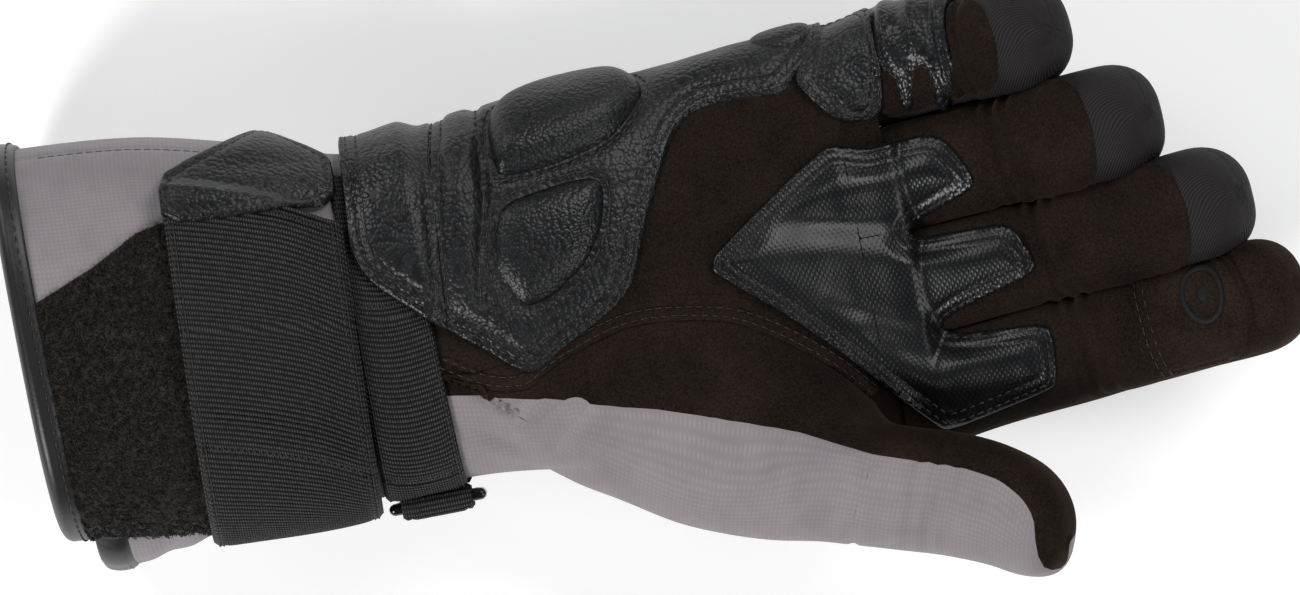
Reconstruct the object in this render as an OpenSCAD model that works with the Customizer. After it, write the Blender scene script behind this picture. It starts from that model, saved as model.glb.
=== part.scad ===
// Winter ski glove for the right hand, lying on its back with the palm up.
// X runs from the cuff to the fingertips, Y towards the little finger, Z out of the palm.
// The origin is the middle of the knuckle guard's flat face.

/* [Cuff] */
// Width of the cuff's mouth
mouth_w = 99; // [92:1:110]
// Height of the cuff's mouth
mouth_h = 76; // [70:1:86]
// Length of the cuff, from its mouth to the wrist
cuff_l = 87; // [80:1:105]
// Thickness of the cuff's outer fabric and insulation
shell_t = 2.4; // [1.6:0.1:3.4]
// Thickness of the lining in the cuff and the hand
lining_t = 2; // [1:0.1:3]
// Width of the binding round the mouth
binding_w = 9; // [6:0.5:14]
// Thickness of the binding
binding_t = 1.2; // [0.8:0.1:2]
// How far the bellows under the cuff's slit stands out
bellows_rise = 11; // [6:0.5:15]

/* [Hand] */
// Width of the wrist
wrist_w = 87; // [80:1:94]
// Height of the wrist
wrist_h = 58; // [52:1:62]
// Length from the wrist to the knuckle hinges
palm_l = 135; // [128:1:150]
// Height of the hand at the knuckles
knuckle_h = 31; // [30:0.5:35]
// Height of the knuckle hinges over the rest face
hinge_z = 25; // [24:0.5:28]
// Thickness of the leather pieces
leather_t = 1.4; // [0.8:0.1:2]
// Rise of the two pads on the palm's heel
pad_rise = 4.5; // [2:0.5:7]
// Thickness of the grip patch
grip_t = 1.2; // [0.6:0.1:2]

/* [Fingers] */
// Width of the index, middle and ring fingers
finger_w = 26.4; // [24:0.2:28]
// Width of the little finger
little_w = 27.2; // [24:0.2:29]
// Height of a finger where it leaves the hand
finger_h = 27; // [24:0.5:28]
// Wall of a finger, with its insulation and lining
finger_t = 2.8; // [1.8:0.1:3.6]
// Space between neighbouring fingers at the knuckles
finger_gap = 0.7; // [0.6:0.1:1.6]
// Knuckle to middle joint of the index finger
index_lower = 42; // [36:1:50]
// Middle joint to tip of the index finger
index_upper = 57; // [44:1:66]
// Knuckle to middle joint of the middle finger
middle_lower = 38; // [34:1:50]
// Middle joint to tip of the middle finger
middle_upper = 53; // [42:1:66]
// Knuckle to middle joint of the ring finger
ring_lower = 32; // [30:1:46]
// Middle joint to tip of the ring finger
ring_upper = 40; // [34:1:56]
// Knuckle to middle joint of the little finger
little_lower = 26; // [25:1:38]
// Middle joint to tip of the little finger
little_upper = 26; // [25:1:40]

/* [Thumb] */
// Width of the thumb
thumb_w = 32; // [28:0.5:34]
// Height of the thumb
thumb_h = 30; // [27:0.5:32]
// Base joint to tip joint of the thumb
thumb_lower = 26; // [25:1:34]
// Tip joint to tip of the thumb
thumb_upper = 34; // [30:1:42]

/* [Straps] */
// Width of the cuff's webbing strap
strap_w = 43; // [34:1:44]
// Thickness of the webbing
strap_t = 2; // [1.2:0.1:2.6]
// Width of the wrist's webbing strap
wrist_strap_w = 18; // [12:1:20]
// Diameter of the wrist ring's wire
ring_d = 3; // [2:0.1:3.6]
// Thickness of the loop patch and of the hook pad
pile_t = 1.2; // [0.8:0.1:1.8]

/* [Joints] */
// How far a knuckle closes, in degrees
flex = 48; // [20:1:50]
// How far a knuckle opens, in degrees
open = 12; // [5:1:12]
// How many degrees a middle joint turns for each degree at its knuckle
curl_ratio = 1.2; // [1:0.05:1.2]
// How far the thumb's base closes, in degrees
thumb_flex = 30; // [15:1:35]
// How far the thumb's base opens, in degrees
thumb_open = 10; // [5:1:12]
// Space across a middle joint, on its hinge line
joint_gap = 1; // [0.8:0.1:2]
// Space across a knuckle, on its hinge line
knuckle_gap = 2.4; // [2.2:0.1:3.5]
// Height of the hinge line over the middle of a digit
axis_lift = 3; // [1:0.5:5]

/* [Hidden] */
$fn = 32;
round_n = 2.6;       // exponent of every rounded section
seam = 0.3;          // space between pieces that face each other across a joint
lay = 0.35;          // space between a patch and the panel under it
rest_cut = 0.5;      // depth of the flat that the glove rests on
cols = 14;           // facets round half of the hand or the cuff
digit_cols = 9;      // facets round half of a digit

wrist_x = knuckle_x() - palm_l;
mouth_x = wrist_x - cuff_l;
finger_row = 3 * finger_w + little_w + 4.5 * finger_gap;
row_start = -finger_row / 2;
back_z = hinge_z - axis_lift - knuckle_h / 2;   // the hand's back at the knuckles

function knuckle_x() = 27;
function mix(a, b, t) = a + (b - a) * t;
function bulge(c) = sign(c) * pow(abs(c), 2 / round_n);
function steps(n) = [for (i = [0:n]) i / n];

// ---- The hand and the cuff: one tube of rounded sections along X ----
// x, middle y, half width, height of the widest line, rise to the palm, drop to the back
sections = [
    [mouth_x, 13.5, mouth_w / 2, mouth_h / 2, mouth_h / 2, mouth_h / 2 + rest_cut],
    [mouth_x + 0.4 * cuff_l, 9.5, mouth_w / 2 + 1, mouth_h / 2 - 1, mouth_h / 2 - 1.5, mouth_h / 2 - 1 + rest_cut],
    [wrist_x - 0.25 * cuff_l, 5, mix(mouth_w, wrist_w, 0.42) / 2, mix(mouth_h, wrist_h, 0.3) / 2 + 1.3,
        mix(mouth_h, wrist_h, 0.42) / 2, mix(mouth_h, wrist_h, 0.3) / 2 + 1.3 + rest_cut],
    [wrist_x, 2.2, wrist_w / 2, wrist_h / 2 + 4, wrist_h / 2, wrist_h / 2],
    [wrist_x + 0.12 * palm_l, 3, wrist_w / 2 + 0.5, wrist_h / 2 + 3.5, wrist_h / 2, wrist_h / 2 - 1],
    [wrist_x + 0.36 * palm_l, 2.4, mix(wrist_w, finger_row, 0.36) / 2, wrist_h / 2 + 1,
        wrist_h / 2 - 1, wrist_h / 2 - 3],
    [wrist_x + 0.6 * palm_l, 0, mix(wrist_w, finger_row, 0.6) / 2, mix(wrist_h, knuckle_h, 0.2) / 2,
        mix(wrist_h, knuckle_h, 0.3) / 2, mix(wrist_h, knuckle_h, 0.4) / 2],
    [wrist_x + 0.83 * palm_l, 0, mix(wrist_w, finger_row, 0.9) / 2, hinge_z - axis_lift + 1,
        mix(wrist_h, knuckle_h, 0.67) / 2, knuckle_h / 2 + 3.5],
    [knuckle_x() - 7, 0, finger_row / 2, hinge_z - axis_lift, knuckle_h / 2 + 1, knuckle_h / 2],
    [knuckle_x(), 0, finger_row / 2, hinge_z - axis_lift, knuckle_h / 2, knuckle_h / 2],
];
stations = [for (s = sections) s[0]];
function along(x, k) = lookup(x, [for (s = sections) [s[0], s[k]]]);

// The knuckle end leans back over the hinge line, so the fingers can close against it
lean_from = knuckle_x() - 18;
knuckle_lean = tan((22 + flex) / 2);
function lean(x) = knuckle_lean * max(0, x - lean_from) / (knuckle_x() - lean_from);

// A point on the tube at x, at angle a from the little finger's side over the palm, o outside its surface
function hand_pt(x, a, o = 0) =
    let (up = sin(a) > 0,
         y = along(x, 1) + (along(x, 2) + o) * bulge(cos(a)),
         z = max(along(x, 3) + (along(x, up ? 4 : 5) + o) * bulge(sin(a)), max(0, -o)),
         ahead = max(0, x - knuckle_x() + knuckle_gap) / knuckle_gap)
    [x - ahead * knuckle_gap / 2 - lean(x) * max(0, z - hinge_z), y, z];

// The tube's stations between two values of x, with both ends
function stations_in(x0, x1) = concat([x0], [for (x = stations) if (x > x0 + 1 && x < x1 - 1) x], [x1]);
function angles(a0, a1, n) = [for (t = steps(n)) mix(a0, a1, t)];

// A closed solid between two grids of points, laid out [row][column].
// A ring's columns close on themselves, and a capped grid's last row is closed with a fan.
module between(outer, inner, ring = false, cap = false) {
    m = len(outer);
    n = len(outer[0]);
    c = ring ? n : n - 1;
    o = function(i, j) i * n + j % n;
    v = function(i, j) m * n + i * n + j % n;
    polyhedron(points = concat([for (r = outer) for (p = r) p], [for (r = inner) for (p = r) p]), convexity = 8,
        faces = concat(
            [for (i = [0:m - 2]) for (j = [0:c - 1])
                each [[o(i, j), o(i + 1, j), o(i, j + 1)], [o(i + 1, j), o(i + 1, j + 1), o(i, j + 1)],
                      [v(i, j), v(i, j + 1), v(i + 1, j)], [v(i + 1, j), v(i, j + 1), v(i + 1, j + 1)]]],
            [for (j = [0:c - 1]) each [[o(0, j), o(0, j + 1), v(0, j + 1)], [o(0, j), v(0, j + 1), v(0, j)]]],
            cap
                ? [for (j = [1:n - 2])
                    each [[o(m - 1, 0), o(m - 1, j + 1), o(m - 1, j)], [v(m - 1, 0), v(m - 1, j), v(m - 1, j + 1)]]]
                : [for (j = [0:c - 1])
                    each [[o(m - 1, j + 1), o(m - 1, j), v(m - 1, j)], [o(m - 1, j + 1), v(m - 1, j), v(m - 1, j + 1)]]],
            ring
                ? []
                : [for (i = [0:m - 2])
                    each [[o(i + 1, 0), o(i, 0), v(i, 0)], [o(i + 1, 0), v(i, 0), v(i + 1, 0)],
                          [o(i, n - 1), o(i + 1, n - 1), v(i + 1, n - 1)], [o(i, n - 1), v(i + 1, n - 1), v(i, n - 1)]]]));
}

// A solid through closed rows of points, with flat ends
module loft(rows) {
    m = len(rows);
    n = len(rows[0]);
    o = function(i, j) i * n + j % n;
    polyhedron(points = [for (r = rows) for (p = r) p], convexity = 6,
        faces = concat(
            [for (i = [0:m - 2]) for (j = [0:n - 1])
                each [[o(i, j), o(i + 1, j), o(i, j + 1)], [o(i + 1, j), o(i + 1, j + 1), o(i, j + 1)]]],
            [for (j = [1:n - 2]) each [[o(0, 0), o(0, j), o(0, j + 1)], [o(m - 1, 0), o(m - 1, j + 1), o(m - 1, j)]]]));
}

// Part of the tube's wall, from o_in to o_out outside its surface
module hand_skin(x0, x1, a0, a1, o_in, o_out, n = cols) {
    xs = stations_in(x0, x1);
    between([for (x = xs) [for (a = angles(a0, a1, n)) hand_pt(x, a, o_out)]],
            [for (x = xs) [for (a = angles(a0, a1, n)) hand_pt(x, a, o_in)]]);
}

// The whole way round
module hand_tube(x0, x1, o_in, o_out) {
    xs = stations_in(x0, x1);
    turn = [for (j = [0:2 * cols - 1]) j * 180 / cols];
    between([for (x = xs) [for (a = turn) hand_pt(x, a, o_out)]],
            [for (x = xs) [for (a = turn) hand_pt(x, a, o_in)]], ring = true);
}

// A patch on the palm's side with the outline given as [x, y] points
module palm_patch(outline, x0, x1, o_in, o_out) {
    intersection() {
        hand_skin(x0, x1, 8, 172, o_in, o_out, 16);
        translate([0, 0, 1]) linear_extrude(mouth_h + 20) polygon(outline);
    }
}

// The height at x and y of the surface o outside the palm
function palm_z(x, y, o) =
    let (u = min(0.999, abs(y - along(x, 1)) / (along(x, 2) + o)))
    along(x, 3) + (along(x, 4) + o) * pow(1 - pow(u, round_n), 1 / round_n);

// A stuffed pad: its outline drawn in towards its middle, rising as it goes
module stuffed_pad(outline, lift, rise) {
    n = len(outline);
    mid = [for (k = [0, 1]) [for (p = outline) p[k]] * [for (p = outline) 1] / n];
    at = function(p, t, h) let (q = mid + (p - mid) * (1 - t)) [q[0], q[1], palm_z(q[0], q[1], lift) + h];
    ts = [0, 0.04, 0.14, 0.3, 0.55, 0.85];
    hs = [0.15, 0.4, 0.66, 0.86, 0.98, 1];
    between([for (i = [0:len(ts) - 1]) [for (p = outline) at(p, ts[i], hs[i] * rise)]],
            [for (t = ts) [for (p = outline) at(p, t, 0)]], ring = true, cap = true);
}

// ---- Digits ----
// name, width, height, hinge point, heading, pitches of root, lower and upper part, lengths, closing, opening, root turn
function finger_y(i) = row_start + finger_w / 2 + i * (finger_w + finger_gap);
function digit(name, w, h, at, heading, pitch, lengths, closing, opening, root_turn) =
    [name, w, h, at, heading, pitch, lengths, closing, opening, root_turn];
DIGITS = [
    digit("index_finger", finger_w, finger_h, [knuckle_x(), finger_y(0), hinge_z], 5.6,
        [0, 12, 26], [index_lower, index_upper], flex, open, -5.6),
    digit("middle_finger", finger_w, finger_h, [knuckle_x(), finger_y(1), hinge_z], 4.8,
        [0, 15, 31], [middle_lower, middle_upper], flex, open, -4.8),
    digit("ring_finger", finger_w, finger_h, [knuckle_x(), finger_y(2), hinge_z], 3.8,
        [0, 18, 36], [ring_lower, ring_upper], flex, open, -3.8),
    digit("little_finger", little_w, finger_h, [knuckle_x(), -row_start - little_w / 2, hinge_z], 1.5,
        [0, 22, 44], [little_lower, little_upper], flex, open, -1.5),
    digit("thumb", thumb_w, thumb_h, [-4, -62, 50], -22,
        [6, 8, 17], [thumb_lower, thumb_upper], thumb_flex, thumb_open, 0),
];

// A frame: a point, then the directions along, across and out of the palm
function frame(at, heading, pitch) = [at,
    [cos(heading) * cos(pitch), sin(heading) * cos(pitch), sin(pitch)],
    [-sin(heading), cos(heading), 0],
    [-cos(heading) * sin(pitch), -sin(heading) * sin(pitch), cos(pitch)]];
function root_frame(d) = frame(d[3], d[4] + d[9], d[5][0]);
function lower_frame(d) = frame(d[3], d[4], d[5][1]);
function joint_at(d) = d[3] + d[6][0] * lower_frame(d)[1];
function upper_frame(d) = frame(joint_at(d), d[4], d[5][2]);

// Slopes of a joint's faces, on the palm's side and on the back, for a bend at rest and the travel
function face(bend, closing, opening) = [tan((bend + closing) / 2), tan((opening - bend) / 2)];
function root_face(d) = face(d[5][1] - d[5][0], d[7], d[8]);
function joint_face(d) = face(d[5][2] - d[5][1], d[7] * curl_ratio, d[8] * curl_ratio);

// A station of a digit: distance along, half width, half height, and its face's slopes (palm, back)
function station(s, w, h, f = [0, 0]) = [s, w, h, f[0], f[1]];
function digit_pt(F, st, a, o) =
    let (y = (st[1] + o) * bulge(cos(a)),
         z = (st[2] + o) * bulge(sin(a)) - axis_lift,
         s = st[0] - st[3] * max(z, 0) - st[4] * max(-z, 0))
    F[0] + s * F[1] + y * F[2] + z * F[3];
function ring_row(F, st, angs, o) = [for (a = angs) digit_pt(F, st, a, o)];

half_at_joint = 0.47;   // a digit's half width at its middle joint, as a share of its width
function lower_stations(d) =
    let (f0 = -root_face(d), f1 = joint_face(d))
    [for (t = steps(3)) station(mix(knuckle_gap / 2, d[6][0] - joint_gap / 2, t),
        mix(d[1] / 2, half_at_joint * d[1], t), mix(d[2] / 2, 0.475 * d[2], t), f0 * (1 - t) + f1 * t)];
function tip_scale(q) = pow(1 - pow(q, 2.4), 1 / 2.4);
function upper_stations(d) =
    let (w = half_at_joint * d[1], h = 0.475 * d[2], l = d[6][1], r = 0.46 * d[2])
    concat([station(joint_gap / 2, w, h, -joint_face(d)), station(mix(joint_gap / 2, l - r, 0.62), w, h, -joint_face(d) * 0.3),
            station(l - r, w * 0.985, h * 0.985)],
        [for (q = [0.4, 0.68, 0.87, 0.97, 0.998]) station(l - r + r * q, w * tip_scale(q), h * tip_scale(q))]);

palm_half = angles(0, 180, digit_cols);
back_half = angles(180, 360, digit_cols);
full_turn = [for (j = [0:2 * digit_cols - 1]) j * 180 / digit_cols];

module digit_wall(F, sts, angs) {
    between([for (st = sts) ring_row(F, st, angs, 0)],
            [for (st = sts) ring_row(F, st, angs, -min(finger_t, 0.9 * st[1]))]);
}
module lower_part(d, angs) { digit_wall(lower_frame(d), lower_stations(d), angs); }
module upper_part(d, angs) { digit_wall(upper_frame(d), upper_stations(d), angs); }

// The stretch of fabric that folds at a joint, between frames F and G
module gusset(F, G, f, gap, w, h, bend_frame) {
    a = station(-gap / 2 + seam, w, h, f);
    b = station(gap / 2 - seam, w, h, -f);
    m = station(0, w - 0.4, h - 0.4);
    rows = function(o) [ring_row(F, a, full_turn, o), ring_row(bend_frame, m, full_turn, o), ring_row(G, b, full_turn, o)];
    between(rows(0), rows(-finger_t), ring = true);
}
module root_gusset(d) {
    gusset(root_frame(d), lower_frame(d), root_face(d), knuckle_gap, d[1] / 2, d[2] / 2,
        frame(d[3], d[4] + d[9] / 2, (d[5][0] + d[5][1]) / 2));
}
module joint_gusset(d) {
    gusset(frame(joint_at(d), d[4], d[5][1]), upper_frame(d), joint_face(d), joint_gap, half_at_joint * d[1], 0.475 * d[2],
        frame(joint_at(d), d[4], (d[5][1] + d[5][2]) / 2));
}

// A patch on a digit, between two distances along and two angles
module digit_patch(F, sts, s0, s1, a0, a1, o_in, o_out, n = 6) {
    rows = [for (t = steps(4)) let (s = mix(s0, s1, t)) station(s,
        lookup(s, [for (st = sts) [st[0], st[1]]]), lookup(s, [for (st = sts) [st[0], st[2]]]))];
    between([for (st = rows) ring_row(F, st, angles(a0, a1, n), o_out)],
            [for (st = rows) ring_row(F, st, angles(a0, a1, n), o_in)]);
}

// ---- The thumb's base, fixed to the hand ----
thumb = DIGITS[4];
thumb_root = [
    // distance from the base joint, offset across, offset up, half width, half height
    [-82, 15, -15, thumb_w / 2 - 1, thumb_h / 2 - 3],
    [-56, 8, -13, thumb_w / 2 + 3.5, thumb_h / 2 + 2],
    [-34, 3.5, -9.5, thumb_w / 2 + 3.2, thumb_h / 2 + 3],
    [-14, 0.6, -4, thumb_w / 2 + 1.2, thumb_h / 2 + 1.5],
    [-knuckle_gap / 2, 0, 0, thumb_w / 2, thumb_h / 2],
];
function thumb_root_pt(k, a, o) =
    let (r = thumb_root[k], F = root_frame(thumb), last = k == len(thumb_root) - 1)
    digit_pt(F, station(r[0], r[3], r[4], last ? root_face(thumb) : [0, 0]), a, o) + r[1] * F[2] + r[2] * F[3];
module thumb_root_wall(angs, o_in, o_out, ring = false) {
    ks = [0:len(thumb_root) - 1];
    between([for (k = ks) [for (a = angs) thumb_root_pt(k, a, o_out)]],
            [for (k = ks) [for (a = angs) thumb_root_pt(k, a, o_in)]], ring = ring);
}
// The whole of the thumb's base, or its hollow, as a plain solid
module thumb_root_solid(o) {
    loft([for (k = [0:len(thumb_root) - 1]) [for (a = full_turn) thumb_root_pt(k, a, o)]]);
}

// ---- Pieces of the hand ----
hand_in = -shell_t - lining_t;
module hand_solid() {
    loft([for (x = stations_in(wrist_x, knuckle_x()))
        [for (j = [0:2 * cols - 1]) hand_pt(x, j * 180 / cols, 0)]]);
}
module palm_panel() {
    color("#1f1a17") difference() {
        hand_skin(wrist_x, knuckle_x(), 0, 180, -shell_t, 0);
        thumb_root_solid(-shell_t);
    }
}
module back_panel() {
    color("#3b393c") difference() {
        hand_skin(wrist_x, knuckle_x(), 180, 360, -shell_t, 0);
        thumb_root_solid(-shell_t);
    }
}
module hand_lining() {
    color("#2e2e30") difference() {
        hand_tube(wrist_x, knuckle_x(), hand_in, -shell_t);
        thumb_root_solid(-shell_t);
    }
}
module thumb_base_palm() {
    color("#211b18") difference() {
        thumb_root_wall(palm_half, -shell_t, 0);
        hand_solid();
    }
}
module thumb_base_back() {
    color("#8b8588") difference() {
        thumb_root_wall(back_half, -shell_t, 0);
        hand_solid();
    }
}

// The heel's leather, which runs on along the outer edge to the little finger
flap_x = wrist_x + 18;       // the seam between the wrist flap and the heel
edge_x = knuckle_x() - 11;   // where the leather stops short of the little finger
side = 70;                   // a y past the glove's edge
heel_outline = [
    [flap_x, side], [edge_x, side], [edge_x - 4, 30], [edge_x - 9, 35], [edge_x - 15, 38.6],
    [edge_x - 35, 40.8], [edge_x - 41, 36.7], [edge_x - 45, 31], [edge_x - 55, 13.5], [edge_x - 61, -2],
    [flap_x + 24, -13.5], [flap_x + 14, -17.3], [flap_x, -4]];
module heel_leather() {
    color("#26272a") palm_patch(heel_outline, flap_x - 3, edge_x + 3, lay, lay + leather_t);
}
pad_lift = lay + leather_t + 0.3;
upper_pad_outline = [
    [-75, 33], [-72, 30.6], [-62, 30.8], [-50, 33], [-41, 35.4], [-36, 40], [-33, 45.2], [-40, 46.2], [-54, 45],
    [-66, 43.6], [-73, 41]];
lower_pad_outline = [
    [-74, 23.6], [-78, 15], [-78, 9], [-75, 2], [-71, -1.6], [-56, 4.7], [-49, 15], [-47, 25], [-50, 27.2], [-62, 25.6]];
module upper_heel_pad() { color("#232427") stuffed_pad(upper_pad_outline, pad_lift, pad_rise); }
module lower_heel_pad() { color("#232427") stuffed_pad(lower_pad_outline, pad_lift, pad_rise); }

strap_over = lay + strap_t + seam;   // the underside of what lies over the wrist strap
module wrist_flap() {
    color("#26272a") palm_patch([[flap_x - 22.5, side], [flap_x + 2, side], [flap_x + 2, -4], [flap_x - 2.4, -3],
        [flap_x - 19.6, 11.8], [flap_x - 22, 18]], flap_x - 24, flap_x + 3, strap_over, strap_over + leather_t);
}

// The grip patch's three prongs run on over the fingers as patches of their own
module grip_patch() {
    color("#17181a") palm_patch([[-24, 2], [8.5, 24], [19.5, 22], [knuckle_x() + 9, 22], [knuckle_x() + 9, -50.5],
        [25, -51], [-4, -19], [-24, -2]], -26, knuckle_x(), lay, lay + grip_t);
}
module finger_grip(d, s1) {
    s0 = knuckle_gap / 2 + (d[2] / 2 - axis_lift) * root_face(d)[0] + seam;
    color("#17181a") digit_patch(lower_frame(d), lower_stations(d), s0, s1, 48, 132, lay, lay + grip_t);
}

// The little finger's outer edge
module edge_pad() {
    color("#232427") {
        n = 14;
        c = [edge_x - 10, 24];   // middle, as x and the angle round the hand
        at = function(t, j, h) hand_pt(c[0] + 9 * t * cos(j * 360 / n), c[1] - 9 * t * sin(j * 360 / n), pad_lift + h);
        between([for (i = [0:4]) [for (j = [0:n - 1]) at([1, 0.92, 0.7, 0.4, 0.1][i], j, [0.4, 1.3, 2.1, 2.5, 2.6][i])]],
            [for (i = [0:4]) [for (j = [0:n - 1]) at([1, 0.92, 0.7, 0.4, 0.1][i], j, 0)]], ring = true, cap = true);
    }
}
module little_finger_patch() {
    d = DIGITS[3];
    l = d[6][0];
    color("#26272a") digit_patch(lower_frame(d), lower_stations(d), 0.4 * l, 0.7 * l, -40, 55, lay, lay + leather_t, 8);
}

// The guard over the knuckles, cut flat where the glove rests
guard_t = back_z + 0.8;
module knuckle_guard() {
    color("#151515") difference() {
        hand_skin(edge_x - 38, edge_x + 2, 228, 312, lay, guard_t + 1, 10);
        translate([-100, -100, -20]) cube([200, 200, 20]);
    }
}

// ---- Pieces of the cuff ----
module cuff_shell() { color("#8b8588") hand_tube(mouth_x, wrist_x, -shell_t, 0); }
module cuff_lining() { color("#2e2e30") hand_tube(mouth_x, wrist_x, hand_in, -shell_t); }
module cuff_binding() {
    turn = [for (j = [0:2 * cols - 1]) j * 180 / cols];
    row = function(x, o) [for (a = turn) hand_pt(max(x, mouth_x), a, o) + [min(x - mouth_x, 0), 0, 0]];
    e = 0.1;
    t = binding_t;
    // From the outer edge, round the mouth, to the inner edge
    over = [[binding_w, t + e], [-t * 0.7, t + e], [-t - e, t * 0.4], [-t - e, hand_in - t * 0.4], [-t * 0.7, hand_in - t - e],
        [binding_w, hand_in - t - e]];
    under = [[binding_w, e], [-e, e], [-e, 0], [-e, hand_in], [-e, hand_in - e], [binding_w, hand_in - e]];
    backwards = [len(over) - 1:-1:0];
    color("#141414") between([for (k = backwards) row(mouth_x + over[k][0], over[k][1])],
        [for (k = backwards) row(mouth_x + under[k][0], under[k][1])], ring = true);
}
module loop_patch() {
    color("#241f1c") palm_patch([[mouth_x + binding_w - 4, 21], [mouth_x + 32, 35], [strap_x1, 33], [strap_x1, -side],
        [mouth_x + binding_w - 4, -side]], mouth_x + binding_w + 1, strap_x1, lay, lay + pile_t);
}

// The bellows that lets the cuff's slit open, under the strap's own side
wrist_strap_x = wrist_x + 4.5;
ring_reach = (wrist_strap_w + ring_d) / 2 + 0.5;   // from the ring's middle to its side wire
strap_x1 = wrist_strap_x - ring_reach - ring_d / 2 - 2;
strap_x0 = strap_x1 - strap_w;
module side_bellows(x0, x1, t) {
    n = 8;
    rise = function(x, u) lay + t + (bellows_rise - t) * sin(180 * u) * mix(1, 0.15, (x - mouth_x) / (strap_x0 - mouth_x));
    rows = function(k) [for (x = [x0, mix(x0, x1, 0.5), x1]) [for (u = steps(n)) hand_pt(x, mix(174, 226, u), rise(x, u) - k)]];
    between(rows(0), rows(t));
}
module cuff_bellows() { color("#8b8588") side_bellows(mouth_x + binding_w + 3, strap_x0 - 2, 1.8); }
module bellows_binding() { color("#141414") side_bellows(mouth_x + binding_w + 0.3, mouth_x + binding_w + 2.9, 2.6); }

// ---- The cuff's strap ----
hook_in = lay + pile_t + seam;
web_in = hook_in + pile_t;
strap_end = 62;        // angle where the webbing stops, under the tab
strap_hinge = 184;     // angle of the line that the strap peels from
strap_cols = 12;
module cuff_strap() {
    color("#1b1a19") hand_skin(strap_x0, strap_x1, strap_end, strap_hinge, web_in, web_in + strap_t, strap_cols);
}
module hook_pad() {
    half = strap_cols / 2;
    color("#101010") hand_skin(strap_x0, strap_x1, strap_end, mix(strap_end, strap_hinge, 0.5), hook_in, web_in, half);
}
module pull_tab() {
    y = hand_pt(strap_x0, strap_end, web_in)[1];
    color("#1d1d1f") palm_patch([[strap_x0 + 1, y - 6], [strap_x0 + 3, y + 7], [mix(strap_x0, strap_x1, 0.68), y + 15],
        [strap_x1 - 1, y + 5], [strap_x1 + 1, y - 6]], strap_x0, strap_x1 + 2, web_in + strap_t + seam, web_in + strap_t + seam + leather_t);
}
module strap_anchor() {
    n = 6;
    drop = function(u) (web_in - lay) * (1 - u);
    rows = function(k) [for (x = stations_in(strap_x0, strap_x1)) [for (u = steps(n))
        hand_pt(x, mix(strap_hinge + 0.5, 236, u), lay + drop(min(1, 1.6 * u)) + k)]];
    color("#1b1a19") between(rows(strap_t), rows(0));
}

// ---- The wrist's strap, its ring and the strap that comes from the back ----
strap_mid_y = hand_pt(wrist_strap_x, 180, 0)[1] - lay - strap_t - ring_d / 2 - seam;
bar_up_z = along(wrist_x, 3) + 4.5;
bar_low_z = bar_up_z - 12;
module webbing_loop(z) {
    translate([wrist_strap_x - wrist_strap_w / 2, strap_mid_y, z]) rotate([0, 90, 0]) difference() {
        cylinder(h = wrist_strap_w, d = ring_d + 2 * seam + 2 * strap_t);
        translate([0, 0, -1]) cylinder(h = wrist_strap_w + 2, d = ring_d + 2 * seam);
    }
}
module wrist_web(a0, a1) {
    hand_skin(wrist_strap_x - wrist_strap_w / 2, wrist_strap_x + wrist_strap_w / 2, a0, a1, lay, lay + strap_t, 12);
}
module wrist_strap() {
    color("#1b1a19") union() {
        wrist_web(40, 176);
        webbing_loop(bar_up_z);
    }
}
module wrist_strap_back() {
    color("#1b1a19") union() {
        wrist_web(190, 250);
        webbing_loop(bar_low_z);
    }
}
module wrist_ring() {
    color("#0c0c0c") translate([wrist_strap_x, strap_mid_y, 0]) {
        for (z = [bar_low_z, bar_up_z])
            translate([-ring_reach, 0, z]) rotate([0, 90, 0]) cylinder(h = 2 * ring_reach, d = ring_d);
        for (x = [-ring_reach, ring_reach]) {
            translate([x, 0, bar_low_z]) cylinder(h = bar_up_z - bar_low_z, d = ring_d);
            for (z = [bar_low_z, bar_up_z]) translate([x, 0, z]) sphere(d = ring_d);
        }
    }
}

// ---- The touch pad on the index fingertip, with its mark ----
index = DIGITS[0];
touch_s = [0.3 * index_upper, index_upper - 9];
mark_r = 6;
module touch_pad() {
    color("#2a2320") digit_patch(upper_frame(index), upper_stations(index), touch_s[0], touch_s[1], 35, 145, lay, lay + grip_t, 8);
    at = function(r, j, o) let (st = upper_stations(index), s = mix(touch_s[0], touch_s[1], 0.45) + r * cos(j * 18),
        w = lookup(s, [for (q = st) [q[0], q[1]]]), h = lookup(s, [for (q = st) [q[0], q[2]]]))
        digit_pt(upper_frame(index), station(s, w, h), 90 - r * sin(j * 18) * 4.2, lay + grip_t + 0.15 + o);
    color("#5d5350") {
        between([for (r = [mark_r, mark_r - 1.2]) [for (j = [0:19]) at(r, j, 0.5)]],
            [for (r = [mark_r, mark_r - 1.2]) [for (j = [0:19]) at(r, j, 0)]], ring = true);
        between([for (r = [1.6, 0.6]) [for (j = [0:19]) at(r, j, 0.5)]],
            [for (r = [1.6, 0.6]) [for (j = [0:19]) at(r, j, 0)]], ring = true, cap = true);
    }
}

// ---- The pieces by name ----
DIGIT_PIECES = ["_root_gusset", "_lower_palm", "_lower_back", "_joint_gusset", "_tip_palm", "_tip_back"];
module digit_piece(d, piece) {
    if (piece == "_root_gusset") color("#2b2829") root_gusset(d);
    if (piece == "_lower_palm") color("#1f1a17") lower_part(d, palm_half);
    if (piece == "_lower_back") color("#3b393c") lower_part(d, back_half);
    if (piece == "_joint_gusset") color("#2b2829") joint_gusset(d);
    if (piece == "_tip_palm") color("#1f1a17") upper_part(d, palm_half);
    if (piece == "_tip_back") color("#2f2d2f") upper_part(d, back_half);
}

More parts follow.
